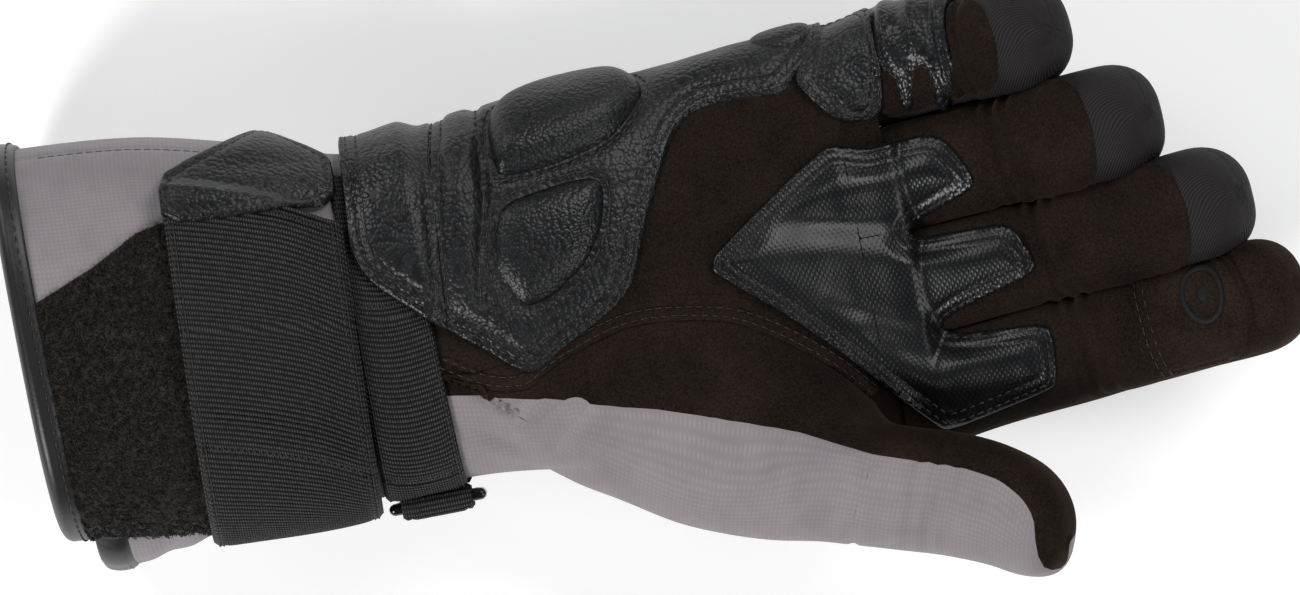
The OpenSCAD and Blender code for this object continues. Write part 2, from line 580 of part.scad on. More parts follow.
palm_panel();
back_panel();
hand_lining();
thumb_base_palm();
thumb_base_back();
heel_leather();
upper_heel_pad();
lower_heel_pad();
edge_pad();
wrist_flap();
grip_patch();
knuckle_guard();
cuff_shell();
cuff_lining();
cuff_binding();
loop_patch();
cuff_bellows();
bellows_binding();
cuff_strap();
hook_pad();
pull_tab();
strap_anchor();
wrist_strap();
wrist_strap_back();
wrist_ring();
finger_grip(DIGITS[0], 28);  // index_finger_grip
finger_grip(DIGITS[1], 27);  // middle_finger_grip
finger_grip(DIGITS[2], 20);  // ring_finger_grip
little_finger_patch();
touch_pad();
for (d = DIGITS) for (p = DIGIT_PIECES)
    digit_piece(d, p);
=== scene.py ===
"""Ski glove: the sewn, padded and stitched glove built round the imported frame, laid out as an add-on."""
import math

import bpy
import numpy as np
from bpy.props import FloatProperty, FloatVectorProperty, PointerProperty
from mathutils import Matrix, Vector
from mathutils.geometry import delaunay_2d_cdt


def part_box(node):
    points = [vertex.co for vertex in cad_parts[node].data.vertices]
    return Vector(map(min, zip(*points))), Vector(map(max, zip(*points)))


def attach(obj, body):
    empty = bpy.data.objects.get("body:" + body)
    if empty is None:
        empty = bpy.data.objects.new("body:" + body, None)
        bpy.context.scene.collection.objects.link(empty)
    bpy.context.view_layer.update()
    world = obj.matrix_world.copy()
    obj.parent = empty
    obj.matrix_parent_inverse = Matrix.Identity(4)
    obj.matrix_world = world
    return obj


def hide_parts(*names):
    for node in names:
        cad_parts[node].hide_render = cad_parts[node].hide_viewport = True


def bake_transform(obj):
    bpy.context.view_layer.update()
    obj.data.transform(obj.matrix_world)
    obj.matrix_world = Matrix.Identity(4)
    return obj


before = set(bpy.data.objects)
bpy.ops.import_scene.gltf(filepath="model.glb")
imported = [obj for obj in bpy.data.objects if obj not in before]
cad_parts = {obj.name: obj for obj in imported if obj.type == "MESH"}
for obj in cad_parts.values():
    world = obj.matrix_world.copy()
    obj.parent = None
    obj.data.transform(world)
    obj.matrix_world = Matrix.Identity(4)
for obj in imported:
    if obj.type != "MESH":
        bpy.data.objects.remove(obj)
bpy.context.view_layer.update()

bl_info = {
    "name": "Ski Glove",
    "version": (1, 0, 0),
    "blender": (4, 5, 0),
    "location": "View3D > Sidebar > Glove",
    "description": "Builds a padded ski glove, palm up, round a jointed frame",
    "category": "Add Mesh",
}

MM = 0.001
KNUCKLE_X, WRIST_X, MOUTH_X = 27.0, -108.0, -195.0
ROUND = 2.6          # exponent of every rounded section
AXIS_LIFT = 3.0      # height of a digit's hinge line over its middle
LAY = 0.3            # space between a patch and the cloth under it


def linear(hex_colour):
    """sRGB hex to linear: below 0.04045 a twelfth of the value, above it the 2.4 power curve."""
    value = hex_colour.lstrip("#")
    srgb = [int(value[i:i + 2], 16) / 255 for i in (0, 2, 4)]
    return tuple(c / 12.92 if c <= 0.04045 else ((c + 0.055) / 1.055) ** 2.4 for c in srgb)


# ---- sizes and colours
def size(name, description, mm):
    """A length that a user may change, kept in metres."""
    return FloatProperty(name=name, description=description, default=mm * MM, min=0, unit="LENGTH", precision=5)


def colour(name, description, hex_colour):
    """A colour that a user may change, kept linear."""
    return FloatVectorProperty(name=name, description=description, default=linear(hex_colour), subtype="COLOR",
                               size=3, min=0, max=1)


class GloveSizes(bpy.types.PropertyGroup):
    """Thicknesses, thread and weave sizes of the glove's cloths."""

    leather: size("Leather", "Thickness of the leather pieces", 1.4)
    pad_rise: size("Pad rise", "Rise of the two pads on the heel", 5.2)
    grip: size("Grip patch", "Thickness of the grip patch", 1.2)
    webbing: size("Webbing", "Thickness of the webbing straps", 2.0)
    rib: size("Rib pitch", "Distance between two ribs of the webbing", 1.25)
    cloth: size("Softshell", "Thickness of the softshell and suede", 1.4)
    thread: size("Thread", "Thickness of the sewing thread", 0.5)
    stitch: size("Stitch", "Distance from one stitch to the next", 3.0)
    pile: size("Pile", "Length of the loops on the cuff's patch", 1.1)
    weave: size("Softshell weave", "Distance between two threads of the grey softshell's grid", 1.1)
    grain: size("Leather grain", "Width of a pebble of the leather's grain", 1.25)


class GloveColours(bpy.types.PropertyGroup):
    """Colours of the glove's cloths."""

    suede: colour("Suede", "Palm and thumb suede", "#1d1713")
    leather: colour("Leather", "Heel, straps' flap and tab", "#17181a")
    grey: colour("Grey softshell", "Cuff and thumb", "#868083")
    charcoal: colour("Charcoal softshell", "Fingertips and back", "#211e20")
    grip: colour("Grip", "Grip patch", "#131416")
    webbing: colour("Webbing", "Straps", "#121212")
    pile: colour("Pile", "Loop patch", "#1b1815")
    binding: colour("Binding", "Edge binding", "#141415")
    plastic: colour("Plastic", "Ring", "#0b0b0c")
    rubber: colour("Rubber", "Knuckle guard", "#161617")
    fleece: colour("Fleece", "Lining", "#2e2e30")
    thread: colour("Thread", "Sewing thread", "#1f1917")
    floor: colour("Floor", "Floor and background", "#f4f4f4")


def mm(name):
    """A size of the panel in millimetres."""
    return getattr(bpy.context.scene.glove_sizes, name) / MM


# ---- small maths
def bulge(c):
    """Coordinate of a rounded section: the sign of c times its size to the power 2 over ROUND."""
    return np.sign(c) * np.abs(c) ** (2 / ROUND)


def ease(t):
    """Smooth step: 3 t squared less 2 t cubed, with t held between 0 and 1."""
    t = np.clip(t, 0, 1)
    return t * t * (3 - 2 * t)


def hump(d, width):
    """A bell: e to the minus (d over width) squared."""
    return np.exp(-(np.asarray(d) / width) ** 2)


def track(x, knots, values):
    """Hermite cubic through the knots, its slope at each knot that of its neighbours' chord."""
    knots, values = np.asarray(knots, float), np.asarray(values, float)
    x = np.clip(x, knots[0], knots[-1])
    i = np.clip(np.searchsorted(knots, x, side="right") - 1, 0, len(knots) - 2)
    h = knots[i + 1] - knots[i]
    t = (x - knots[i]) / h
    slope = np.gradient(values, knots)
    return ((2 * t**3 - 3 * t**2 + 1) * values[i] + (t**3 - 2 * t**2 + t) * h * slope[i]
            + (3 * t**2 - 2 * t**3) * values[i + 1] + (t**3 - t**2) * h * slope[i + 1])


def quarter(t):
    """Height of a quarter round at a share t from its rim: the root of 1 less (1 - t) squared."""
    return np.sqrt(np.clip(1 - (1 - np.clip(t, 0, 1)) ** 2, 0, 1))


def angle_across(c):
    """The angle whose cosine, rounded by bulge, is c."""
    return np.arccos(np.sign(c) * np.abs(c) ** (ROUND / 2))


WAVES = np.random.default_rng(7).normal(size=(14, 4))


def crumple(p, length):
    """Soft unevenness of cloth: a fifth of the sum of fourteen sines of k.p + phase, k near 2 pi over length."""
    k = WAVES[:, :3] / np.linalg.norm(WAVES[:, :3], axis=1, keepdims=True) * (2 * math.pi / length)
    k = k * (1 + 0.35 * WAVES[:, 3:4])
    return np.sin(p @ k.T + WAVES[:, 3] * 9).sum(-1) / 5


def segment_distance(p, a, b):
    """Distance of points p from the segment a to b, and the share along it."""
    d = b - a
    t = np.clip(((p - a) @ d) / max(d @ d, 1e-9), 0, 1)
    return np.linalg.norm(p - a - t[..., None] * d, axis=-1), t


def folds_at(p, table, start, span):
    """Height of a table's folds at points p: a bell across each fold and the arch of a sine along it."""
    total = 0.0
    for x0, y0, x1, y1, height, width in table:
        away, t = segment_distance(p, np.array([x0, y0], float), np.array([x1, y1], float))
        total = total + height * hump(away, width) * np.sin(math.pi * (start + span * t))
    return total


def line_distance(p, line, closed=False):
    """Distance of points p from a line of points, the least over its segments."""
    line = np.asarray(line, float)
    ends = np.roll(line, -1, axis=0) if closed else line[1:]
    best = np.full(len(p), 1e9)
    for a, b in zip(line, ends):
        best = np.minimum(best, segment_distance(p, a, b)[0])
    return best


def rounded(points, times=2, closed=True):
    """A softer outline: each corner is cut at a quarter of its sides, so many times."""
    p = np.asarray(points, float)
    for _ in range(times):
        q = np.roll(p, -1, axis=0)
        cut = np.stack([0.75 * p + 0.25 * q, 0.25 * p + 0.75 * q], 1).reshape(-1, p.shape[1])
        p = cut if closed else np.vstack([p[:1], cut[:-2], p[-1:]])
    return p


def spaced(points, step, closed=True):
    """The same line with points a step apart along it."""
    p = np.asarray(points, float)
    if closed:
        p = np.vstack([p, p[:1]])
    along = np.concatenate([[0], np.cumsum(np.linalg.norm(np.diff(p, axis=0), axis=1))])
    n = max(3, int(round(along[-1] / step)))
    at = np.linspace(0, along[-1], n + 1)[: n if closed else n + 1]
    return np.stack([np.interp(at, along, p[:, k]) for k in range(p.shape[1])], 1)


def inside_of(points, outline):
    """Which points lie inside a closed outline, by counting the sides to their right."""
    inside = np.zeros(len(points), bool)
    for a, b in zip(outline, np.roll(outline, -1, axis=0)):
        if a[1] != b[1]:
            crosses = (a[1] > points[:, 1]) != (b[1] > points[:, 1])
            inside ^= crosses & (points[:, 0] < (b[0] - a[0]) * (points[:, 1] - a[1]) / (b[1] - a[1]) + a[0])
    return inside


def keep_side(outline, axis, value, below):
    """The part of a closed outline on one side of a straight cut."""
    side = -1 if below else 1
    kept = []
    for p, q in zip(outline, np.roll(outline, -1, axis=0)):
        dp, dq = side * (p[axis] - value), side * (q[axis] - value)
        if dp >= 0:
            kept.append(p)
        if dp * dq < 0:
            kept.append(p + (q - p) * dp / (dp - dq))
    return np.array(kept)


# ---- the hand and the cuff: one tube along X
# x, middle y, half width, height of the widest line, rise to the palm, drop to the back
SECTIONS = np.array([
    [-195, 13.5, 49.5, 38, 38, 38.5], [-160.2, 9.5, 50.5, 37, 36.5, 37.5], [-129.75, 5, 46.98, 36.6, 34.2, 37.1],
    [-108, 2.2, 43.5, 33, 29, 29], [-91.8, 3, 44, 32.5, 29, 28], [-59.4, 2.4, 47.56, 30, 28, 26],
    [-27, 0, 50.27, 26.3, 24.95, 23.6], [4.05, 0, 53.65, 23, 19.96, 19], [20, 0, 54.78, 22, 16.5, 15.5],
    [29, 0, 54.78, 22, 15.5, 15.5]])

# Folds of the palm's cloth: from x, y to x, y, height, half width
FOLDS = [
    (-74, 44, -77, 26, -1.6, 1.7), (-77, 26, -80, 6, -1.3, 1.7), (-82, 40, -86, 20, 0.7, 2.4),
    (-96, -28, -80, -36, -1.3, 2.2), (-90, -22, -70, -40, 0.9, 3), (-88, -38, -66, -48, -1.0, 2),
    (-10, 8, 12, -8, -0.8, 3.5), (-6, -14, 16, 4, 0.7, 4), (10, -20, 26, -34, -0.8, 3),
    (-150, 47, -118, 42, -0.8, 3),
]


def section(x):
    """Middle, half width, side height, rise and drop of the tube at x."""
    return [track(x, SECTIONS[:, 0], SECTIONS[:, k]) for k in range(1, 6)]


def hand_point(x, a, o=0.0, folded=True):
    """Point of the tube at x and angle a, o outside it: y is the middle plus half width times bulge(cos a),
    z the side height plus rise or drop times bulge(sin a), and the folds and the crumple are added to o."""
    x, a = np.broadcast_arrays(np.asarray(x, float), np.asarray(a, float))
    yc, w, zs, up, down = section(x)
    c, s = bulge(np.cos(a)), bulge(np.sin(a))
    rise = np.where(s > 0, up, down)
    if folded:
        y = yc + w * c
        flat = np.stack([x, y], -1)
        extra = 0.4 * crumple(np.stack([x, y, zs + rise * s], -1), 34) + folds_at(flat, FOLDS, 0.12,
                0.76) * ease(s * 3)
        o = o + extra * ease((x - MOUTH_X) / 12)
    z = np.maximum(zs + (rise + o) * s, np.maximum(0.0, -o))
    return np.stack([x, yc + (w + o) * c, z], -1)


def palm_level(x, y):
    """Height of the palm over x and y: the side height plus the rise times the rounded section's own height."""
    yc, w, zs, up, _ = section(x)
    inside = np.clip(np.abs(y - yc) / w, 0, 0.9995)
    return zs + up * (1 - inside**ROUND) ** (1 / ROUND)


X_TABLE = np.linspace(-200, 30, 231)
A_TABLE = np.radians(np.arange(-200, 382, 2.0))
_sections = hand_point(*np.meshgrid(X_TABLE, A_TABLE, indexing="ij"), 0, folded=False)
ROUND_LENGTH = np.concatenate(
    [np.zeros((len(X_TABLE), 1)), np.cumsum(np.linalg.norm(np.diff(_sections, axis=1), axis=2), axis=1)], axis=1)
ROUND_LENGTH -= ROUND_LENGTH[:, [int(np.argmin(np.abs(A_TABLE)))]]
Q_TABLE = np.linspace(-160, 330, 491)
ANGLE_OF = np.array([np.interp(Q_TABLE, row, A_TABLE) for row in ROUND_LENGTH])


def read_table(table, rows, columns, x, y):
    """Value of an even table at x and y, straight between its entries."""
    i = np.clip((np.asarray(x, float) - rows[0]) / (rows[1] - rows[0]), 0, len(rows) - 1.001)
    j = np.clip((np.asarray(y, float) - columns[0]) / (columns[1] - columns[0]), 0, len(columns) - 1.001)
    i0, j0 = i.astype(int), j.astype(int)
    u, v = i - i0, j - j0
    return ((1 - u) * (1 - v) * table[i0, j0] + u * (1 - v) * table[i0 + 1, j0]
            + (1 - u) * v * table[i0, j0 + 1] + u * v * table[i0 + 1, j0 + 1])


def hand_at(p, o=0.0):
    """Point of the tube at p = (x, q), where q is the length round it in mm from the little finger's side."""
    return hand_point(p[..., 0], read_table(ANGLE_OF, X_TABLE, Q_TABLE, p[..., 0], p[..., 1]), o)


def unrolled(points):
    """(x, y) on the palm's side to (x, q)."""
    p = np.asarray(points, float)
    yc, w = section(p[:, 0])[:2]
    c = np.clip((p[:, 1] - yc) / w, -1, 1)
    a = angle_across(c)
    return np.stack([p[:, 0], read_table(ROUND_LENGTH, X_TABLE, A_TABLE, p[:, 0], a)], 1)


def q_at(x, degrees):
    """Length round the tube at x of an angle."""
    x, degrees = np.broadcast_arrays(np.asarray(x, float), np.asarray(degrees, float))
    return read_table(ROUND_LENGTH, X_TABLE, A_TABLE, x, np.radians(degrees))


def plan_outline(points, times=1):
    """(x, y) outline to (x, q), sampled first, so that it keeps its shape seen from above."""
    return unrolled(spaced(rounded(points, times), 0.8))


# ---- digits
class Digit:
    """A finger or the thumb: a line that turns smoothly from the root's pitch to the lower and the upper part's,
    and rounded sections across it."""

    def __init__(self, name, width, height, hinge, heading, pitches, lengths, root_turn, full=0.5):
        self.name, self.w, self.h, self.hinge = name, width, height, np.array(hinge, float)
        self.lower, self.upper = lengths
        self.length = sum(lengths)
        self.mid = self.lower / 2
        self.thumb = name == "thumb"
        self.full = full
        s = np.arange(-100, self.length + 6, 0.5)
        self.s = s
        step_1, step_2 = ease((s + 8) / 16), ease((s - self.lower + 9) / 18)
        curl = 7 * ease((s - self.lower - 10) / (self.upper - 8))
        pitch = np.radians(pitches[0] + (pitches[1] - pitches[0]) * step_1 + (pitches[2] - pitches[1]) * step_2
                           + curl)
        turn = np.radians(heading + root_turn * (1 - step_1))
        self.along = np.stack([np.cos(turn) * np.cos(pitch), np.sin(turn) * np.cos(pitch), np.sin(pitch)], 1)
        self.across = np.stack([-np.sin(turn), np.cos(turn), 0 * turn], 1)
        self.out = np.cross(self.along, self.across)
        path = np.concatenate([[[0, 0, 0]], np.cumsum((self.along[1:] + self.along[:-1]) * 0.25, axis=0)])
        k = int(np.argmin(np.abs(s - self.mid)))
        lower = np.array([math.cos(math.radians(heading)) * math.cos(math.radians(pitches[1])),
                          math.sin(math.radians(heading)) * math.cos(math.radians(pitches[1])),
                          math.sin(math.radians(pitches[1]))])
        self.path = path - path[k] + self.hinge + self.mid * lower - AXIS_LIFT * self.out
        tip = 0.5 * self.h
        t = np.clip((s - (self.length - tip)) / tip, 0, 1)
        self.tip = (1 - t**2.3) ** (1 / 2.3)
        joint = ease(s / self.lower)
        self.half_w = self.w * (0.5 - (0.5 - full) * joint)
        self.half_h = self.h * (0.5 - 0.02 * joint)
        if not self.thumb:
            self.half_w = self.half_w + 0.9 * hump(s - 2, 9)
        self.v_angle = np.radians(np.arange(-90, 271, 2.0))
        section_points = np.stack([self.w * 0.49 * bulge(np.cos(self.v_angle)),
                                   self.h * 0.49 * bulge(np.sin(self.v_angle))], 1)
        v = np.concatenate([[0], np.cumsum(np.linalg.norm(np.diff(section_points, axis=0), axis=1))])
        self.v_length = v - np.interp(math.pi / 2, self.v_angle, v)

    def read(self, table, s):
        """A table along the digit at s."""
        if table.ndim == 1:
            return np.interp(s, self.s, table)
        return np.stack([np.interp(s, self.s, table[:, k]) for k in range(3)], -1)


DIGITS = {
    "index_finger": Digit("index_finger", 27.0, 27, (27, -41.575, 25), 5.6, (0, 12, 26), (42, 57), -5.6, 0.53),
    "middle_finger": Digit("middle_finger", 27.0, 27, (27, -14.475, 25), 4.8, (0, 15, 31), (38, 53), -4.8, 0.53),
    "ring_finger": Digit("ring_finger", 27.0, 27, (27, 12.625, 25), 3.8, (0, 18, 36), (32, 40), -3.8, 0.54),
    "little_finger": Digit("little_finger", 27.4, 27, (27, 41.175, 25), 1.5, (0, 22, 44), (26, 26), -1.5, 0.51),
    "thumb": Digit("thumb", 32, 30, (-4, -62, 50), -22, (6, 8, 17), (26, 34), 0, 0.49),
}
# Folds across a digit's palm side: distance from its middle joint, height, half width
CREASES = [(-5.5, -0.9, 1.5), (-1, -1.3, 1.7), (4.5, -0.8, 1.4)]
# The thumb's base: distance from its hinge, offset across, offset up, half width, half height
THUMB_BASE = np.array([[-96, 18, -17, 13, 10], [-82, 13, -15, 18.5, 14], [-68, 10, -14, 20.3, 16.4],
                       [-56, 8, -13, 20.3, 17.4],
                       [-34, 3.5, -9.5, 19.2, 18], [-14, 2.2, -4, 17.2, 16.5], [0, 3.2, 0, 16, 15],
                       [10, 3.9, 0, 16, 15]])
# The seam between the palm and the thumb's suede, and the border between that suede and the grey, as x, y
THUMB_SEAM = np.array([(-97, -13), (-86, -20), (-74.5, -21.7), (-70.7, -18.3), (-58.2, -13.7), (-44.6, -10.4),
                       (-25.7, -13.1),
                       (-15.1, -18.2), (0.7, -30.4), (9, -40), (16.2, -50.2)])
GREY_BORDER = np.array([(-112, -17), (-95.5, -19.4), (-68.2, -25.5), (-60.9, -27.7), (-34, -35.8), (-9.9, -45.1),
                        (6.5, -54),
                        (28.3, -61.6), (36, -66), (41, -72), (43, -78.7), (43.1, -86)])


def digit_point(d, s, a, o=0.0):
    """Point of a digit at distance s and angle a, o outside it: its middle plus half width times bulge(cos a)
    across and half height times bulge(sin a) out. Behind the knuckle a finger takes the hand's own heights."""
    s, a = np.broadcast_arrays(np.asarray(s, float), np.asarray(a, float))
    w, h, tip = d.read(d.half_w, s), d.read(d.half_h, s), d.read(d.tip, s)
    side, up = 0 * s, 0 * s
    if d.thumb:
        back = s < 6
        base = [track(s, THUMB_BASE[:, 0], THUMB_BASE[:, k]) for k in range(1, 5)]
        side, up = np.where(back, base[0], 0), np.where(back, base[1], 0)
        w, h = np.where(back, base[2], w), np.where(back, base[3], h)
        side = np.where(back, side, track(s, [0, 10, 18, 30, 42, 52, 60], [3.2, 3.9, 4.4, 5.2, 4.4, 2.0, -1.0]))
        w = w * (1 - 0.1 * ease((s - 34) / 24))
    c, sn = bulge(np.cos(a)), bulge(np.sin(a))
    rough = np.stack([s, w * c, h * sn], -1) + d.hinge
    o = o + 0.3 * crumple(rough, 21) * tip
    for at, height, width in CREASES:
        o = o + height * hump(s - d.lower - at, width) * ease(np.sin(a) * 1.6)
    y = (w * tip + o * np.maximum(tip, 0.15)) * c + side
    z = (h * tip + o * np.maximum(tip, 0.15)) * sn + up
    middle, across, out = d.read(d.path, s), d.read(d.across, s), d.read(d.out, s)
    point = middle + y[..., None] * across + z[..., None] * out + (o * (1 - tip))[..., None] * d.read(d.along, s)
    if d.thumb:
        return point
    # Behind the knuckle: the hand's own surface over this finger's width, squarer at its sides
    x = KNUCKLE_X + s
    yf = d.hinge[1] + (d.w / 2 + 0.1) * c
    yc, hw, zs, rise, drop = section(np.clip(x, -20, 29))
    u = np.clip(np.abs(yf - yc) / hw, 0, 0.9995)
    lid = (1 - u**ROUND) ** (1 / ROUND)
    square = np.sign(np.sin(a)) * np.abs(np.sin(a)) ** 0.25
    slab = np.stack([x, yf, zs + (np.where(square > 0, rise, drop) * lid + o) * square], -1)
    k = ease((s + 12) / 18)[..., None]
    return (1 - k) * slab + k * point


def digit_at(d, p, o=0.0):
    """Point of a digit at p = (s, v), where v is the length round it in mm from its palm line, towards -Y."""
    return digit_point(d, p[..., 0], np.interp(p[..., 1], d.v_length, d.v_angle), o)


def laid(surface, points, first, last, span):
    """Each (x, y) as the two coordinates of the surface's point that lies nearest under it."""
    u, v = np.meshgrid(np.linspace(first, last, 260), np.linspace(-span, span, 160), indexing="ij")
    grid = np.stack([u, v], -1).reshape(-1, 2)
    at = surface(grid, 0.0)
    gap = np.linalg.norm(np.asarray(points, float)[:, None, :] - at[None, :, :2], axis=2) - 0.02 * at[None, :, 2]
    return grid[np.argmin(gap, axis=1)]


# ---- meshes
def build(name, points, faces, material, uv=None):
    """A mesh object from points in mm and a list of face arrays, smooth, with its place in its mesh."""
    mesh = bpy.data.meshes.new(name)
    points = np.asarray(points, float).reshape(-1, 3) * MM
    faces = [np.asarray(f, np.int32) for f in faces if len(f)]
    loops = np.concatenate([f.ravel() for f in faces])
    totals = np.concatenate([np.full(len(f), f.shape[1]) for f in faces])
    mesh.vertices.add(len(points))
    mesh.vertices.foreach_set("co", points.astype(np.float32).ravel())
    mesh.loops.add(len(loops))
    mesh.loops.foreach_set("vertex_index", loops)
    mesh.polygons.add(len(totals))
    mesh.polygons.foreach_set("loop_start", np.concatenate([[0], np.cumsum(totals)[:-1]]).astype(np.int32))
    mesh.polygons.foreach_set("use_smooth", np.ones(len(totals), bool))
    if uv is not None:
        layer = mesh.uv_layers.new(name="Cloth")
        layer.data.foreach_set("uv", (np.asarray(uv, float).reshape(-1, 2)[loops]
                                      * MM).astype(np.float32).ravel())
    mesh.update(calc_edges=True)
    mesh.validate()
    mesh.set_sharp_from_angle(angle=math.radians(82))
    used = np.zeros(len(mesh.loops), np.int32)
    mesh.loops.foreach_get("edge_index", used)
    sharp = mesh.attributes.get("sharp_edge") or mesh.attributes.new("sharp_edge", "BOOLEAN", "EDGE")
    folded = np.zeros(len(mesh.edges), bool)
    sharp.data.foreach_get("value", folded)
    sharp.data.foreach_set("value", folded | (np.bincount(used, minlength=len(mesh.edges)) == 1))
    mesh.materials.append(material)
    made = bpy.data.objects.new(name, mesh)
    bpy.context.scene.collection.objects.link(made)
    return made


def quads(m, n, ring=False, flip=False, first=0):
    """Faces of a grid of m rows and n columns, the columns closed on themselves for a ring."""
    i, j = np.meshgrid(np.arange(m - 1), np.arange(n if ring else n - 1), indexing="ij")
    k = (j + 1) % n
    f = np.stack([i * n + j, (i + 1) * n + j, (i + 1) * n + k, i * n + k], -1).reshape(-1, 4) + first
    return f[:, ::-1] if flip else f


def tube(name, surface, rows, columns, material, uv=None, closed=True, pole=False, thick=0.0,
         flip=False):
    """A surface over rows and columns. pole closes the last row with a fan, thick gives it a wall inwards."""
    u, v = np.meshgrid(rows, columns, indexing="ij")
    points = surface(u, v).reshape(-1, 3)
    m, n = u.shape
    faces = [quads(m, n, closed, flip)]
    coords = np.stack([u, v], -1).reshape(-1, 2) if uv is None else uv(u, v).reshape(-1, 2)
    if pole:
        points = np.vstack([points, points[-n:].mean(0) + (points[-n:].mean(0) - points[-2 * n:-n].mean(0))
                            * 0.3])
        coords = np.vstack([coords, coords[-1:]])
        j = np.arange(n if closed else n - 1)
        fan = np.stack([(m - 1) * n + j, np.full(len(j), m * n), (m - 1) * n + (j + 1) % n], 1)
        faces.append(fan[:, ::-1] if flip else fan)
    made = build(name, points, faces, material, coords)
    if thick:
        wall = made.modifiers.new("Wall", "SOLIDIFY")
        wall.thickness, wall.offset, wall.use_even_offset = thick * MM, -1, False
    return made


def fill(outline, step):
    """Triangles inside a closed outline: its own points, a ring just inside them that keeps the rim crisp,
    then a six-sided lattice, joined by Delaunay's rule."""
    border = spaced(outline, step)
    ahead = np.roll(border, -1, axis=0) - np.roll(border, 1, axis=0)
    inward = np.stack([-ahead[:, 1], ahead[:, 0]], 1) / (np.linalg.norm(ahead, axis=1, keepdims=True) + 1e-9)
    turned = np.sum(border[:, 0] * np.roll(border[:, 1], -1) - np.roll(border[:, 0], -1) * border[:, 1])
    ring = border + inward * 0.42 * step * np.sign(turned)
    lo, hi = border.min(0), border.max(0)
    rows = np.arange(lo[1], hi[1], step * 0.866)
    grid = np.concatenate([np.stack([np.arange(lo[0] + (i % 2) * step / 2, hi[0], step),
                                     np.full(len(np.arange(lo[0] + (i % 2) * step / 2, hi[0], step)), y)], 1)
                           for i, y in enumerate(rows)])
    ring, grid = (p[inside_of(p, border)] for p in (ring, grid))
    grid = grid[line_distance(grid, border, True) > 0.95 * step]
    ring = ring[line_distance(ring, border, True) > 0.34 * step]
    points = np.vstack([border, ring, grid])
    made, _, faces, *_ = delaunay_2d_cdt([Vector(p) for p in points], [], [list(range(len(border)))], 1, 1e-7)
    return np.array([tuple(p) for p in made]), np.array([list(f) for f in faces if len(f) == 3]), len(border)


def patch(name, surface, outline, height, material, step=1.1, low=0.02, rim=None, flip=False, uv=None):
    """A closed patch on a surface. Its top stands height(d, p) out, d being the distance from its rim, and its
    underside lies on the cloth."""
    p, faces, n = fill(outline, step)
    if flip:
        faces = faces[:, ::-1]
    d = line_distance(p, outline if rim is None else rim, True)
    top = surface(p, height(d, p))
    inner = np.arange(n, len(p))
    under = np.concatenate([np.arange(n), len(p) + np.arange(len(inner))])
    points = np.vstack([top, surface(p[inner], np.full(len(inner), low))])
    coords = p if uv is None else uv(p)
    return build(name, points, [faces, under[faces][:, ::-1]], material, np.vstack([coords, coords[inner]]))


def sewn(thick, rows=(1.7, 4.3), puff=0.0, dip=0.45, soft=5.0, base=LAY):
    """Height of a sewn piece at distance d from its rim: a quarter round edge, a groove along each row of
    stitches, and a soft rise inside the last row."""
    def height(d, p):
        h = base * ease(d / 0.3) + thick * quarter(d / 0.9)
        for row in rows:
            h = h - dip * hump(d - row, 0.6)
        if puff:
            h = h + puff * np.sqrt(ease((d - (rows[-1] if rows else 0.5)) / soft))
        return h
    return height


def inset(outline, distance, step, closed=True):
    """Points a step apart along a line inside an outline at a distance, as pairs: a stitch's two ends."""
    p = spaced(outline, 0.4, closed)
    ahead = np.roll(p, -1, axis=0) - np.roll(p, 1, axis=0) if closed else np.gradient(p, axis=0)
    normal = np.stack([-ahead[:, 1], ahead[:, 0]], 1) / (np.linalg.norm(ahead, axis=1, keepdims=True) + 1e-9)
    area = np.sum(p[:, 0] * np.roll(p[:, 1], -1) - np.roll(p[:, 0], -1) * p[:, 1])
    row = p + normal * distance * (1 if area > 0 or not closed else -1)
    if closed and distance > 0:
        row = row[line_distance(row, p, True) > distance - 0.2]
    row = spaced(row, step, closed)
    following = np.roll(row, -1, axis=0) if closed else np.vstack([row[1:], row[-1:]])
    pairs = np.stack([row, row + (following - row) * 0.74], 1)
    length = np.linalg.norm(pairs[:, 1] - pairs[:, 0], axis=1)
    return pairs[(length > 0.3 * step) & (length < 1.5 * step)]


def threads(name, surface, runs, heights, material=None, radius=None):
    """Stitches: short rounded tubes from point to point, each middle standing out by half its thickness."""
    radius = radius or mm("thread") / 2
    runs = [r for r in runs if len(r)]
    heights = [np.full(len(r), h) if np.isscalar(h) else h for r, h in zip(runs, heights)]
    p, high = np.concatenate(runs), np.concatenate(heights)
    t = np.array([0, 0.12, 0.5, 0.88, 1.0])
    sides = 5
    flat = p[:, :1] + (p[:, 1:] - p[:, :1]) * t[None, :, None]
    lift = high[:, None] + radius * np.array([-0.9, 0.25, 0.7, 0.25, -0.9])[None]
    line = surface(flat, lift)
    normal = surface(flat, lift + 0.5) - line
    normal /= np.linalg.norm(normal, axis=2, keepdims=True) + 1e-9
    ahead = np.gradient(line, axis=1)
    ahead /= np.linalg.norm(ahead, axis=2, keepdims=True) + 1e-9
    across = np.cross(ahead, normal)
    r = radius * np.array([0.45, 0.95, 1, 0.95, 0.45])
    turn = np.arange(sides) * 2 * math.pi / sides
    ring = (normal[:, :, None] * np.cos(turn)[None, None, :, None]
            + across[:, :, None] * np.sin(turn)[None, None, :, None]) * r[None, :, None, None]
    points = (line[:, :, None] + ring).reshape(-1, 3)
    one = quads(5, sides, True, True)
    count = len(p)
    starts = (np.arange(count) * 5 * sides)[:, None, None]
    body = (one[None] + starts).reshape(-1, 4)
    caps = np.stack([np.arange(sides)[::-1], np.arange(sides) + 4 * sides])
    return build(name, points, [body, (caps[None] + starts).reshape(-1, sides)],
                 material or finish("polyester_thread"))


